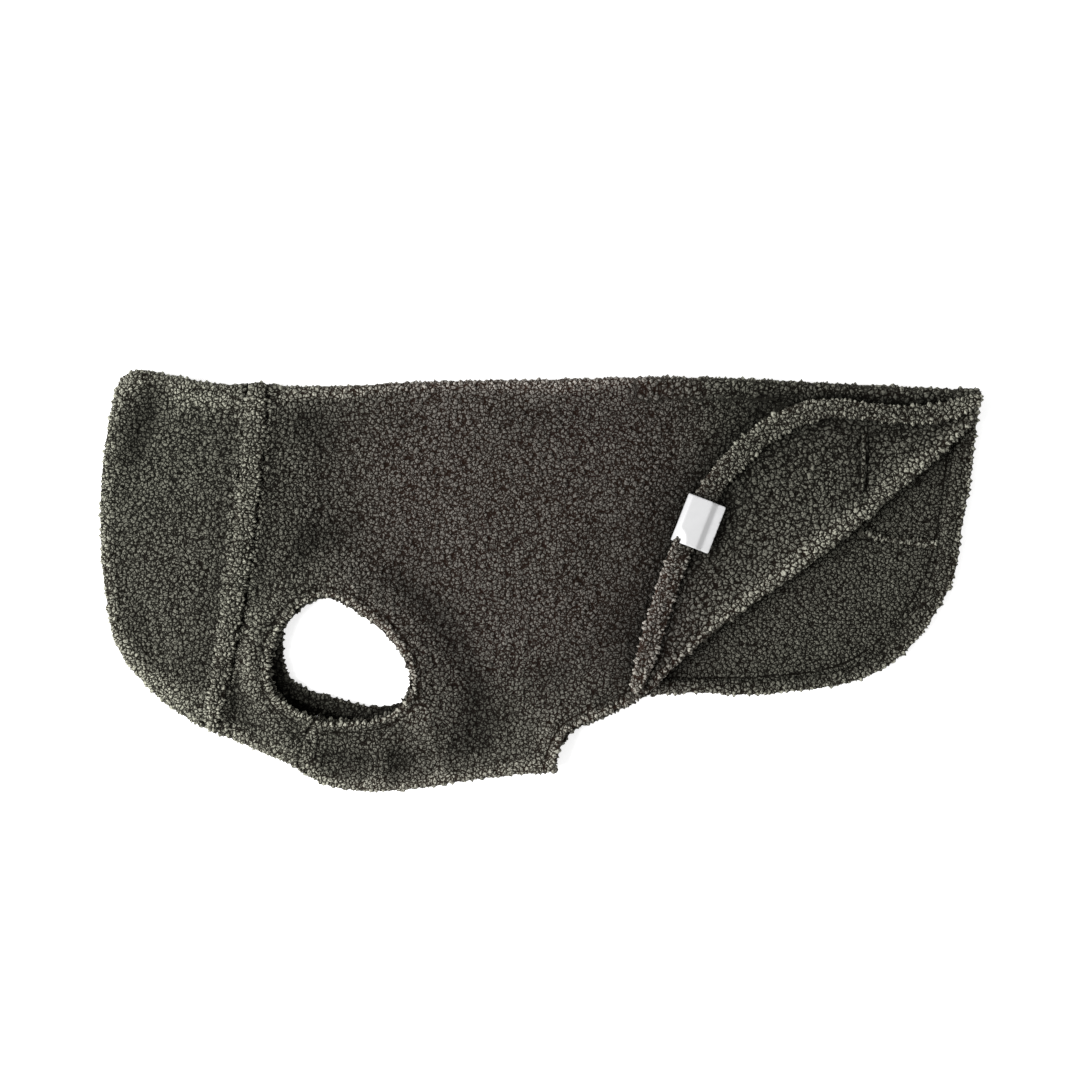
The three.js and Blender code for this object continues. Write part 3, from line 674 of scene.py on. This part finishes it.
def even_mesh(node, edge):
    """A mesh of the node's form in even triangles no longer than edge."""
    bm = bmesh.new()
    bm.from_mesh(frame["nodes"][node].data)
    bmesh.ops.remove_doubles(bm, verts=bm.verts, dist=0.001 * MM)
    while long := [e for e in bm.edges if e.calc_length() > edge]:
        bmesh.ops.subdivide_edges(bm, edges=long, cuts=1)
        wide = [f for f in bm.faces if len(f.verts) > 3]
        bmesh.ops.triangulate(bm, faces=wide, quad_method="SHORT_EDGE", ngon_method="EAR_CLIP")
    return bm


def vertex_places(bm):
    """In millimetres."""
    return np.array([v.co for v in bm.verts]) / MM


def write_layer(bm, name, values):
    """Writes a value on each vertex."""
    layer = bm.verts.layers.float.new(name)
    for vertex, value in zip(bm.verts, values, strict=True):
        vertex[layer] = value


def soften(bm, rounds, tight=()):
    """Evens out a mesh, but not along the tight lines."""
    places = vertex_places(bm)
    loose = np.full(len(places), True)
    for line in tight:
        loose &= abs(beside(places, line)) > TIGHT_REACH
    verts = [v for v, moves in zip(bm.verts, loose, strict=True) if moves]
    axes = dict.fromkeys(("use_axis_x", "use_axis_y", "use_axis_z"), True)
    for _ in range(rounds):
        bmesh.ops.smooth_vert(bm, verts=verts, factor=0.5, **axes)


PAINTED_LIGHT_ROUNDS = 30  # of softening, which leave the surroundings of a vertex
PAINTED_LIGHT_FADES = 2  # mm: over which a line of painted light or shade comes in, above its height


def mark_painted_light(bm, turned_edge, naps):
    """Writes how far each vertex stands out, with the lines of painted light added: above 0 it is painted
    highlight on a ridge, below 0 painted shade in a trough.
    """
    smooth = bm.copy()
    soften(smooth, PAINTED_LIGHT_ROUNDS)
    bm.normal_update()
    both = zip(bm.verts, smooth.verts, strict=True)
    painted_light_and_shade = np.array([(v.co - resting.co).dot(v.normal) / MM for v, resting in both])
    smooth.free()
    places = vertex_places(bm)
    extra = np.full(len(places), turned_edge, float)
    for above, nap in naps:
        extra += crease_heights(places, nap) * smooth_step(places[:, 2], above, above + PAINTED_LIGHT_FADES)
    write_layer(bm, "painted_light_and_shade", extra + painted_light_and_shade)


def mark_lines(bm, stitched):
    """Writes how far each vertex is from the lines of stitching of its side."""
    places = vertex_places(bm)
    near = places[:, 2] > SIDES_PART[0]
    lines = [(away, near) for away in stitch_distances(places)]
    lines.append((beside(places, REAR_SEAM), ~near))
    for name, (away, shows) in zip(STITCH_LINES, lines, strict=True):
        write_layer(bm, name, np.where(shows & stitched, away, OUT_OF_REACH))


# How the label lies, in millimetres: over the pile, drawn in to the edge, tucked under the turned edge at
# one corner and sprung open at its fold.
LABEL_LIFT = 0.9
LABEL_TURN = 1.2  # rad: how the tape's ribs run
LABEL_DRAWN_IN = 1
LABEL_DRAWN_OVER = 12
LABEL_TUCKED = 3.6
LABEL_CORNER = (3, 8)
LABEL_SPRUNG = 0.5
LABEL_FOLD = (9, 12)

# How deep the near dart is sewn down, how deep the far side's rear edge lies, how much painted shade falls
# on the pile of its inner side, and how far its stitching reaches over that side.
DART_DEPTH = 1.1
FAR_EDGE_DIP = 0.5
FAR_EDGE_PAINTED_SHADE = 2.4
FAR_EDGE_LINE = 1.6
TOWARDS_MIDDLE = (-0.8, 0.6, 0)  # from the far side's rear edge

# mm: heights between the sides of the body and of the collar. What is above moves with the near side.
SIDES_PART = (2.8, 6)
COLLAR_PARTS = (5, 9)

# Rolls of the turned edges: how far in from the edge, their reach and their height.
LEG_ROLL = (3.4, 2.4)
BELLY_ROLL = (3, 2.2)
ROLL_HEIGHT = 0.7
# Grooves of the stitching, and of the chest seam besides: depth and reach.
GROOVE = (0.7, 2)
CHEST_GROOVE = (0.6, 1.8)


def stitch_distances(places):
    """To the stitching round the leg opening and behind the belly, and to the chest seam."""
    leg = abs(beside(places, LEG_EDGE, closed=True)) - LEG_HEM
    belly = abs(beside(places, BELLY_EDGE)) - BELLY_HEM
    return leg, belly, beside(places, CHEST_SEAM)


def lay_near_side(places, normals):
    """Creases, stitching and turned edges of what lies above the far side."""
    near = smooth_step(places[:, 2], *SIDES_PART)
    leg, belly, seam = stitch_distances(places)
    lines = abs(np.array([leg, belly, seam])).min(0)
    leg_roll = bell(leg + LEG_HEM - LEG_ROLL[0], LEG_ROLL[1])
    belly_roll = bell(belly + BELLY_HEM - BELLY_ROLL[0], BELLY_ROLL[1])
    swell = np.maximum(leg_roll, belly_roll)
    outward = np.clip(normals[:, 2], 0, 1)
    places[:, 2] += near * crease_heights(places, CREASES)
    groove = GROOVE[0] * bell(lines, GROOVE[1]) + CHEST_GROOVE[0] * bell(seam, CHEST_GROOVE[1])
    places[:, 2] += near * outward * (ROLL_HEIGHT * swell - groove)
    return places


def uneven(places, height, size):
    """A slight unevenness of the lie, in millimetres."""
    return np.array([noise.noise(Vector(p) / size) for p in places]) * height


INSET_AT_SEAM = 0.15  # of the rest's, along the tight lines
INSET_FROM = (0.5, 4)  # mm: where it grows from that to the rest's
SHELL_LOWEST = 0.05  # mm above the floor


def wear(piece, material):
    piece.data.materials.clear()
    piece.data.materials.append(material)


def new_object(name, data):
    made = bpy.data.objects.new(name, data)
    bpy.context.scene.collection.objects.link(made)
    return made


def make_shell(
    name, node, edge, sunk, rounds=2, lay=None, stitched=False, tight=(), turned_edge=0, naps=()
):
    """A soft shell on a node's form, set in by sunk, less so along the tight lines, and laid by lay."""
    bm = even_mesh(node, edge)
    soften(bm, rounds, tight)
    bm.normal_update()
    places = vertex_places(bm)
    normals = np.array([v.normal for v in bm.verts])
    floor = places[:, 2].min()
    inset = np.full(len(places), sunk / MM)
    for line in tight:
        away = abs(beside(places, line))
        inset *= INSET_AT_SEAM + (1 - INSET_AT_SEAM) * smooth_step(away, *INSET_FROM)
    places -= normals * inset[:, None]
    if lay:
        places = lay(places, normals)
    places[:, 2] = np.maximum(places[:, 2], max(floor, 0) + SHELL_LOWEST)
    for vertex, place in zip(bm.verts, places, strict=True):
        vertex.co = Vector(place) * MM
    mark_painted_light(bm, turned_edge, naps)
    mark_lines(bm, stitched)
    for face in bm.faces:
        face.smooth = True
    mesh = bpy.data.meshes.new(name)
    bm.to_mesh(mesh)
    bm.free()
    shell = new_object(name, mesh)
    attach(shell, ROOT)
    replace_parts(shell, node)
    return shell


def overlap(places, line, towards):
    """Drawn under the roll of the neck seam, so that no gap shows."""
    places[:, 0] += towards * NECK_OVERLAP * bell(beside(places, line), 4)
    return places


def lay_body(places, normals):
    places = lay_near_side(overlap(places, BODY_AT_NECK, -1), normals)
    near = smooth_step(places[:, 2], *SIDES_PART)
    seam = beside(places, CHEST_SEAM)
    places[:, 0] -= (1 - near) * np.sign(seam) * SEAM_OVERLAP * bell(seam, 1.5)
    places[:, 2] += near * uneven(places, 0.5, 26)
    return places


def lay_collar(places, normals):
    places = overlap(places, COLLAR_AT_NECK, 1)
    near = smooth_step(places[:, 2], *COLLAR_PARTS)
    places[:, 2] += near * (crease_heights(places, COLLAR_CREASES) + uneven(places, 0.5, 22))
    return places


def lay_seam(places, normals):
    near = smooth_step(places[:, 2], *COLLAR_PARTS)
    places[:, 2] += near * uneven(places, 0.6, 9)
    return places


def lay_on_near_side(places, normals):
    places[:, 2] += crease_heights(places, CREASES) + uneven(places, 0.5, 26)
    return places


def lay_near_dart(places, normals):
    """Sewn down, so that only its stitching shows."""
    places = lay_on_near_side(places, normals)
    places[:, 2] -= DART_DEPTH * np.clip(normals[:, 2], 0, 1)
    return places


def lay_far_edge(places, normals):
    """Sewn down along its inner side, so that it ends without a step."""
    places[:, 2] -= FAR_EDGE_DIP * np.clip(normals @ TOWARDS_MIDDLE, 0, 1)
    return places


def shade_inner_side(shell):
    """Painted shade on the pile of the far side's rear edge where it faces the middle, with its stitching
    drawn over that side.
    """
    painted_light_and_shade = shell.data.attributes["painted_light_and_shade"].data
    line = shell.data.attributes[STITCH_LINES[0]].data
    for vertex, shaded, away in zip(shell.data.vertices, painted_light_and_shade, line, strict=True):
        facing = max(0, vertex.normal.dot(TOWARDS_MIDDLE))
        shaded.value -= FAR_EDGE_PAINTED_SHADE * facing
        away.value *= max(0, 1 - FAR_EDGE_LINE * facing)


def lay_label(places, normals):
    """On the pile of the turned-back quarter, drawn in to its edge."""
    turn = LABEL_TURN - math.pi / 2
    run = np.array([math.cos(turn), math.sin(turn)])
    along = places[:, :2] @ run
    across = places[:, :2] @ np.array([-run[1], run[0]])
    along, across = along - along.min(), across - across.min()
    drawn = np.clip(1 - along / LABEL_DRAWN_OVER, 0, 1) * LABEL_DRAWN_IN
    places[:, :2] += drawn[:, None] * run
    low = smooth_step(along, *LABEL_FOLD) * (places[:, 2].max() - places[:, 2])
    covered = 1 - smooth_step(np.hypot(along, across), *LABEL_CORNER)
    places[:, 2] += LABEL_LIFT + low * LABEL_SPRUNG - covered * LABEL_TUCKED
    return places


# ---------- pile ----------

NEAR_DIRECTIONS = 8
SLANTS = (40, 20, 8)  # degrees above the floor, from which a face is looked at
OUTSIDE, INSIDE, UNDERSIDE = 1, 2, 3
OCCLUSION_REACH = 120 * MM
FACES_DOWN = -0.35  # the underside: how its normals point, and how high it reaches
UNDERSIDE_TOP = 2 * MM
CLEARANCE = 0.1 * MM  # from a face to where what it looks at is tested
TURNED_BACK = (45, 7.6)  # mm: the turned-back quarter lies beyond this X and above this height
# Painted rim light on pile that stands sideways on the outline, as if it splayed this much more, and more
# on sides turned away from the key light.
RIM_LIGHT = 1.2
FAR_RIM_LIGHT = 15
RIM_FROM = 0.6
RIM_SLANT = 0.35
# How deep the painted shade is in a part of the body, or on another shell: the power of its open share.
SHADE_DEPTHS = {
    OUTSIDE: 2.2,
    INSIDE: 0.35,
    "leg_hem_far_fleece": 2.1,
    "rear_hem_far_fleece": 0.35,
    "dart_far_fleece": 0.35,
}


def looked_at_from():
    """Directions towards a viewer: straight above, then at each slant all round."""
    directions = [UP]
    for slant in map(math.radians, SLANTS):
        for i in range(NEAR_DIRECTIONS):
            turn = 2 * math.pi * (i + 0.5) / NEAR_DIRECTIONS
            flat = math.cos(slant)
            directions.append(Vector((flat * math.cos(turn), flat * math.sin(turn), math.sin(slant))))
    return directions


def open_share(place, normal, everything, directions):
    """How much of what a face looks at is open to the viewer and the light."""
    start = place + normal * CLEARANCE
    faced = [d for d in directions if d.dot(normal) > 0.05]
    free = [d for d in faced if everything.ray_cast(start, d, OCCLUSION_REACH)[0] is None]
    return len(free) / max(len(faced), 1)


def paint_rim_light(place, normal, everything):
    """How much painted rim light a face takes that stands steep on the outline and looks out into the open.
    """
    outward = Vector((normal.x, normal.y, 0))
    if outward.length < RIM_FROM:
        return 0
    slant = (outward.normalized() - UP * RIM_SLANT).normalized()
    if everything.ray_cast(place + normal * CLEARANCE, slant)[0]:
        return 0
    return (outward.length - RIM_FROM) * (RIM_LIGHT + FAR_RIM_LIGHT * max(0, normal.x))


def even_out(mesh, values, counted, rounds=2):
    """The values of faces, each evened out with its neighbours that are counted."""
    corners = np.array([list(f.vertices) for f in mesh.polygons])
    for _ in range(rounds):
        total, count = np.zeros(len(mesh.vertices)), np.zeros(len(mesh.vertices))
        for column in corners.T:
            np.add.at(total, column, values * counted)
            np.add.at(count, column, counted)
        around = total / np.maximum(count, 1)
        values = np.where(counted, around[corners].mean(1), values)
    return values


def face_attribute(mesh, name, values, kind="FLOAT"):
    attribute = mesh.attributes.new(name, kind, "FACE")
    attribute.data.foreach_set("value", values)


def mark_pile(shell, shells):
    """Writes on each face of a shell which part of the pile stands there, with its painted shade and
    painted rim light.
    """
    joined = bmesh.new()
    for other in shells:
        joined.from_mesh(other.data)
    everything = BVHTree.FromBMesh(joined)
    joined.free()
    directions = looked_at_from()
    mesh = shell.data
    centres = np.array([f.center for f in mesh.polygons]) / MM
    part = np.zeros(len(centres), int)
    painted_occlusion_shade = np.zeros(len(centres))
    rim = np.zeros(len(centres))
    turned_back = (centres[:, 0] > TURNED_BACK[0]) & (centres[:, 2] > TURNED_BACK[1])
    turned_back &= shell.name == "body_fleece"
    for face in mesh.polygons:
        free = open_share(face.center, face.normal, everything, directions)
        if free > 0:
            part[face.index] = INSIDE if inside_out(shell, face) else OUTSIDE
            depth = SHADE_DEPTHS.get(shell.name, SHADE_DEPTHS[part[face.index]])
            # Painted shade, deeper where fewer of the directions round a face are open.
            painted_occlusion_shade[face.index] = 1 - free**depth
            # Painted rim light on the steep faces of the outline.
            rim[face.index] = paint_rim_light(face.center, face.normal, everything)
        elif face.normal.z < FACES_DOWN and face.center.z < UNDERSIDE_TOP:
            part[face.index] = UNDERSIDE
    piled = part > 0
    face_attribute(mesh, "part", part, "INT")
    face_attribute(mesh, "painted_occlusion_shade", even_out(mesh, painted_occlusion_shade, piled))
    face_attribute(mesh, "rim", even_out(mesh, rim, piled, rounds=1))
    face_attribute(mesh, "pile", piled.astype(float))
    face_attribute(mesh, "turned_back", turned_back.astype(float))


INNER_FACE = (5, 4.5)  # mm: the far side's inner face shows beyond this X and below this height


def inside_out(shell, face):
    """On the inner face of the far side, which shows below the turned-back quarter."""
    within = face.center.x > INNER_FACE[0] * MM and face.center.z < INNER_FACE[1] * MM
    return shell.name == "body_fleece" and face.normal.z > 0 and within


def new_group(name):
    group = bpy.data.node_groups.new(name, "GeometryNodeTree")
    for way in ("INPUT", "OUTPUT"):
        group.interface.new_socket("Geometry", in_out=way, socket_type="NodeSocketGeometry")
    return group, Nodes(group)


# How high the pile stands along its stitching, as a share, and how far that reaches, in millimetres.
STITCHED_RISE = 0.35
STITCHED_REACH = 1.3
# How high the skin stands between its curls, and how deep its border is tucked in.
PILE_BASE = 0.25 * MM
PILE_TUCKED = 0.5 * MM
LOWEST_PILE = (-9, -9, 0.02 * MM)


def skin_nodes(lowest, highest, rounds, pile):
    """A skin of curls over the faces of a shell whose part is between two numbers."""
    group, nodes = new_group("curls")
    skin = nodes.add("NodeGroupInput")
    part = nodes.read("part", "INT")
    wanted = part.between(lowest - 0.5, highest + 0.5)
    # The painted shade and the painted rim light of the shell go over to the skin.
    for name, mark in (("covered", "pile"), ("painted_shade", "painted_occlusion_shade"), ("edged", "rim")):
        skin = nodes.store(skin, name, nodes.read(mark))
    skin = nodes.keep(skin, wanted)
    skin = nodes.add("GeometryNodeSubdivisionSurface", values={"Mesh": skin, "Level": rounds})
    place = nodes.add("GeometryNodeInputPosition")
    skin = nodes.store(skin, "lie", place, "FLOAT_VECTOR")
    coarser = 1 - nodes.read("turned_back") * pile.coarser
    skin = nodes.store(skin, "pile_place", place.scaled(coarser), "FLOAT_VECTOR")
    lie = nodes.read("pile_place", "FLOAT_VECTOR")
    _, _, rise = curls(nodes, lie, pile)
    away = to_stitching(nodes, nodes.read, nodes.read("lie", "FLOAT_VECTOR"))
    rise = rise * (STITCHED_RISE + away.step(0, STITCHED_REACH) * (1 - STITCHED_RISE))
    covered = nodes.read("covered").step(0.5, 0.85)
    up = (rise * pile.height + PILE_BASE) * covered - (1 - covered) * PILE_TUCKED
    lean = nodes.noise(lie, CURL_BENDS, 1, output="Color")
    across = lean.vector("SUBTRACT", MIDDLE_GREY).scaled(rise * covered * (2 * pile.bent))
    normal = nodes.add("GeometryNodeInputNormal")
    offset = normal.scaled(up).vector("ADD", across)
    skin = nodes.add("GeometryNodeSetPosition", values={"Geometry": skin, "Offset": offset})
    settled = place.vector("MAXIMUM", LOWEST_PILE)
    skin = nodes.add("GeometryNodeSetPosition", values={"Geometry": skin, "Position": settled})
    nodes.add("NodeGroupOutput", values={0: skin})
    return group


def cut_nodes(part, low, high):
    """What of a skin is one part, between two places along X."""
    group, nodes = new_group("cut")
    skin = nodes.add("NodeGroupInput")
    marked = nodes.read("part", "INT")
    along = nodes.read("lie", "FLOAT_VECTOR").along("X")
    within = marked.math("COMPARE", part, 0.5) * along.math("GREATER_THAN", low)
    within = within * (1 - along.math("GREATER_THAN", high))
    nodes.add("NodeGroupOutput", values={0: nodes.keep(skin, within)})
    return group


def through_nodes(mesh, group):
    """The mesh that a group of nodes makes of another."""
    source = new_object("source", mesh)
    source.modifiers.new("nodes", "NODES").node_group = group
    depsgraph = bpy.context.evaluated_depsgraph_get()
    made = bpy.data.meshes.new_from_object(source.evaluated_get(depsgraph), depsgraph=depsgraph)
    bpy.data.objects.remove(source)
    bpy.data.node_groups.remove(group)
    return made


def raise_pile(name, skin, part, low, high):
    """A piece of pile: one part of a skin."""
    mesh = through_nodes(skin, cut_nodes(part, low, high))
    if not mesh.polygons:
        raise RuntimeError(f"no pile stands on {name}")
    mesh.name = name
    piece = new_object(name, mesh)
    wear(piece, bpy.data.materials["fleece_pile"])
    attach(piece, ROOT)


# ---------- operators ----------

EDGE_SUNK = 0.4 * MM  # how far the shell of a turned edge or of the neck seam is set in


class SweaterOperator:
    """What the operators share."""

    bl_options = {"REGISTER", "UNDO"}

    def add_shell(self, node, edge, sunk, **more):
        """A shell of fleece on a node's form."""
        shell = make_shell(f"{node}_fleece", node, edge, sunk, **more)
        wear(shell, bpy.data.materials["fleece_backing"])
        return shell


class SWEATER_OT_finishes(bpy.types.Operator):
    """Mix the finishes of the fleece"""

    bl_idname = "sweater.finishes"
    bl_label = "Fleece finishes"

    def execute(self, context):
        fleece = context.scene.sweater_fleece
        backing_material(fleece)
        pile_material(fleece, context.scene.sweater_pile)
        return {"FINISHED"}


class SWEATER_OT_collar(SweaterOperator, bpy.types.Operator):
    """Shape the doubled collar"""

    bl_idname = "sweater.collar"
    bl_label = "Collar"

    def execute(self, context):
        sunk = context.scene.sweater_fleece.sunk
        naps = [(2, COLLAR_PAINTED_LIGHT_AND_SHADE)]
        self.add_shell("collar", 6.8 * MM, sunk, lay=lay_collar, tight=[COLLAR_AT_NECK], naps=naps)
        return {"FINISHED"}


class SWEATER_OT_neck_seam(SweaterOperator, bpy.types.Operator):
    """Shape the roll of the neck seam"""

    bl_idname = "sweater.neck_seam"
    bl_label = "Neck seam"

    def execute(self, context):
        # Painted light on the pile of the neck seam's roll.
        self.add_shell("neck_seam", 4.2 * MM, EDGE_SUNK, lay=lay_seam, turned_edge=0.6)
        return {"FINISHED"}


class SWEATER_OT_body(SweaterOperator, bpy.types.Operator):
    """Shape the body with its turned-back quarter"""

    bl_idname = "sweater.body"
    bl_label = "Body"

    def execute(self, context):
        sunk = context.scene.sweater_fleece.sunk
        naps = [(7, BODY_PAINTED_LIGHT_AND_SHADE), (0, BACK_PAINTED_SHADE)]
        tight = [CHEST_SEAM, BODY_AT_NECK]
        self.add_shell("body", 6.4 * MM, sunk, lay=lay_body, stitched=True, tight=tight, naps=naps)
        return {"FINISHED"}


# Painted light on the pile of a turned edge, and painted shade below 0.
EDGE_PAINTED_LIGHT = {"leg_hem_near": 0.1, "belly_hem_near": 0.4, "rear_hem_near": 0.4}


class SWEATER_OT_hems(SweaterOperator, bpy.types.Operator):
    """Shape the turned edges"""

    bl_idname = "sweater.hems"
    bl_label = "Turned edges"

    def execute(self, context):
        for edge in ("leg_hem", "belly_hem", "rear_hem"):
            for side, lay in (("near", lay_on_near_side), ("far", None)):
                node = f"{edge}_{side}"
                # Painted light on the near turned edges' pile, and painted shade on the far ones'.
                painted_light_and_shade = EDGE_PAINTED_LIGHT.get(node, -0.2)
                far_rear_edge = node == "rear_hem_far"
                lay = lay_far_edge if far_rear_edge else lay
                shell = self.add_shell(node, 4.4 * MM, EDGE_SUNK, rounds=1, lay=lay, turned_edge=painted_light_and_shade)
                if far_rear_edge:
                    shade_inner_side(shell)
        return {"FINISHED"}


class SWEATER_OT_darts(SweaterOperator, bpy.types.Operator):
    """Shape the tucks of the darts"""

    bl_idname = "sweater.darts"
    bl_label = "Darts"

    def execute(self, context):
        for side, lay in (("near", lay_near_dart), ("far", None)):
            # Painted light on the pile of the far dart.
            painted_light_and_shade = 0.5 if side == "far" else 0
            self.add_shell(f"dart_{side}", 3.4 * MM, 0.2 * MM, rounds=1, lay=lay, turned_edge=painted_light_and_shade)
        return {"FINISHED"}


class SWEATER_OT_label(bpy.types.Operator):
    """Shape the bare satin label"""

    bl_idname = "sweater.label"
    bl_label = "Label"

    def execute(self, context):
        label = make_shell("label_tape", "label", 1.2 * MM, 0.05 * MM, rounds=1, lay=lay_label)
        low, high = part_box("label")
        centre = (low + high) / 2
        wear(label, satin_material(context.scene.sweater_label, centre, LABEL_TURN))
        return {"FINISHED"}


EVERYWHERE = (-1000, 1000)
# Pieces of pile on the body: the part of the shell, and between which places along X, in millimetres.
BODY_PILE = {
    "body_pile_shoulder": (OUTSIDE, -1000, -88),
    "body_pile_ribs": (OUTSIDE, -88, -18),
    "body_pile_flank": (OUTSIDE, -18, 52),
    "body_pile_quarter": (OUTSIDE, 52, 1000),
    "far_side_pile": (INSIDE, *EVERYWHERE),
}
# Levels of subdivision of the skin of pile, above and below.
ROUNDS_ABOVE = 2
ROUNDS_BELOW = 1


class SWEATER_OT_pile(bpy.types.Operator):
    """Raise the curls of pile where the fleece shows"""

    bl_idname = "sweater.pile"
    bl_label = "Pile"

    def execute(self, context):
        shells = [o for o in context.scene.objects if "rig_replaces" in o]
        for shell in [s for s in shells if s.name.endswith("_fleece")]:
            stem = shell.name.removesuffix("_fleece")
            mark_pile(shell, shells)
            parts = {a.value for a in shell.data.attributes["part"].data}
            above = {f"{stem}_pile": (OUTSIDE, *EVERYWHERE)} if stem != "body" else BODY_PILE
            below = {f"{stem}_underside_pile": (UNDERSIDE, *EVERYWHERE)}
            self.raise_pieces(context, shell, above, (OUTSIDE, INSIDE), ROUNDS_ABOVE, parts)
            self.raise_pieces(context, shell, below, (UNDERSIDE, UNDERSIDE), ROUNDS_BELOW, parts)
        return {"FINISHED"}

    def raise_pieces(self, context, shell, pieces, marks, rounds, parts):
        if not parts & set(marks):
            return
        skin = through_nodes(shell.data, skin_nodes(*marks, rounds, context.scene.sweater_pile))
        for name, (part, low, high) in pieces.items():
            raise_pile(name, skin, part, low * MM, high * MM)
        bpy.data.meshes.remove(skin)


PAPER_GRAIN = 60
FLOOR_SIZE = 3
KEY_SIZE = 1
KEY_PLACE = (-1, -0.2, 0.8)


class SWEATER_OT_stage(bpy.types.Operator):
    """Set the camera, the floor and the light"""

    bl_idname = "sweater.stage"
    bl_label = "Stage"

    def execute(self, context):
        stage = context.scene.sweater_stage
        context.scene.view_settings.view_transform = "Standard"
        self.add_floor(stage)
        self.add_camera(context, stage)
        self.add_light(context, stage)
        return {"FINISHED"}

    def add_floor(self, stage):
        material, nodes = new_material("floor_paper")
        grain = nodes.noise(nodes.on_object(), PAPER_GRAIN, 3)
        plain = nodes.mix(grain, opaque(stage.floor_colour), opaque([0.99 * c for c in stage.floor_colour]))
        glow = {"Emission Color": opaque(stage.floor_colour), "Emission Strength": stage.floor_glow}
        links = {"Base Color": plain, "Roughness": 0.85 + grain * 0.1}
        close_material(nodes, {"Specular IOR Level": 0.1} | glow, links)
        bm = bmesh.new()
        bmesh.ops.create_grid(bm, x_segments=1, y_segments=1, size=FLOOR_SIZE)
        mesh = bpy.data.meshes.new("floor")
        bm.to_mesh(mesh)
        bm.free()
        mesh.materials.append(material)
        floor = new_object("floor", mesh)

    def add_camera(self, context, stage):
        data = bpy.data.cameras.new("camera")
        data.lens = stage.lens
        camera = new_object("camera", data)
        height = stage.view_width * data.lens / data.sensor_width
        camera.location = (*stage.centre, height)
        context.scene.camera = camera

    def add_light(self, context, stage):
        world = bpy.data.worlds.new("studio")
        world.use_nodes = True
        background = world.node_tree.nodes["Background"]
        background.inputs["Color"].default_value = (1, 1, 1, 1)
        background.inputs["Strength"].default_value = stage.fill
        context.scene.world = world
        data = bpy.data.lights.new("key", "AREA")
        data.shape = "DISK"
        data.size = KEY_SIZE
        data.energy = stage.key_power
        key = new_object("key", data)
        key.location = KEY_PLACE
        key.rotation_euler = (-key.location).to_track_quat("-Z", "Y").to_euler()


class SWEATER_PT_sidebar(bpy.types.Panel):
    """The sweater's pieces and the stage"""

    bl_label = "Dog Sweater"
    bl_idname = "SWEATER_PT_sidebar"
    bl_space_type = "VIEW_3D"
    bl_region_type = "UI"
    bl_category = "Dog Sweater"

    def draw(self, context):
        for operator in OPERATORS:
            self.layout.operator(operator.bl_idname)
        for name in SETTINGS:
            box = self.layout.box()
            settings = getattr(context.scene, name)
            for field in settings.__annotations__:
                box.prop(settings, field)


SETTINGS = {
    "sweater_pile": PileSettings,
    "sweater_fleece": FleeceSettings,
    "sweater_label": LabelSettings,
    "sweater_stage": StageSettings,
}
OPERATORS = (
    SWEATER_OT_finishes,
    SWEATER_OT_collar,
    SWEATER_OT_neck_seam,
    SWEATER_OT_body,
    SWEATER_OT_hems,
    SWEATER_OT_darts,
    SWEATER_OT_label,
    SWEATER_OT_pile,
    SWEATER_OT_stage,
)


CLASSES = (*SETTINGS.values(), *OPERATORS, SWEATER_PT_sidebar)


def register():
    for shown in CLASSES:
        bpy.utils.register_class(shown)
    for name, group in SETTINGS.items():
        setattr(bpy.types.Scene, name, PointerProperty(type=group))


def unregister():
    for name in SETTINGS:
        delattr(bpy.types.Scene, name)
    for shown in reversed(CLASSES):
        bpy.utils.unregister_class(shown)


def declare_sheets():
    """Gathers the collar's pile and the other pieces of fleece and pile that go with the body; nothing more
    is done with them.
    """
    objects = bpy.context.scene.objects
    collar = [o for o in objects if o.name.startswith("collar") and o.name.endswith("_pile")]
    sheets = {"body_fleece", "collar_fleece", "label_tape"}
    on_body = [o for o in objects if o.name.endswith(("_pile", "_fleece")) and o.name not in sheets]
    on_body = [o for o in on_body if o not in collar]


def main():
    register()
    for operator in OPERATORS:
        group, name = operator.bl_idname.split(".")
        getattr(getattr(bpy.ops, group), name)()
    declare_sheets()


if __name__ == "__main__":
    main()
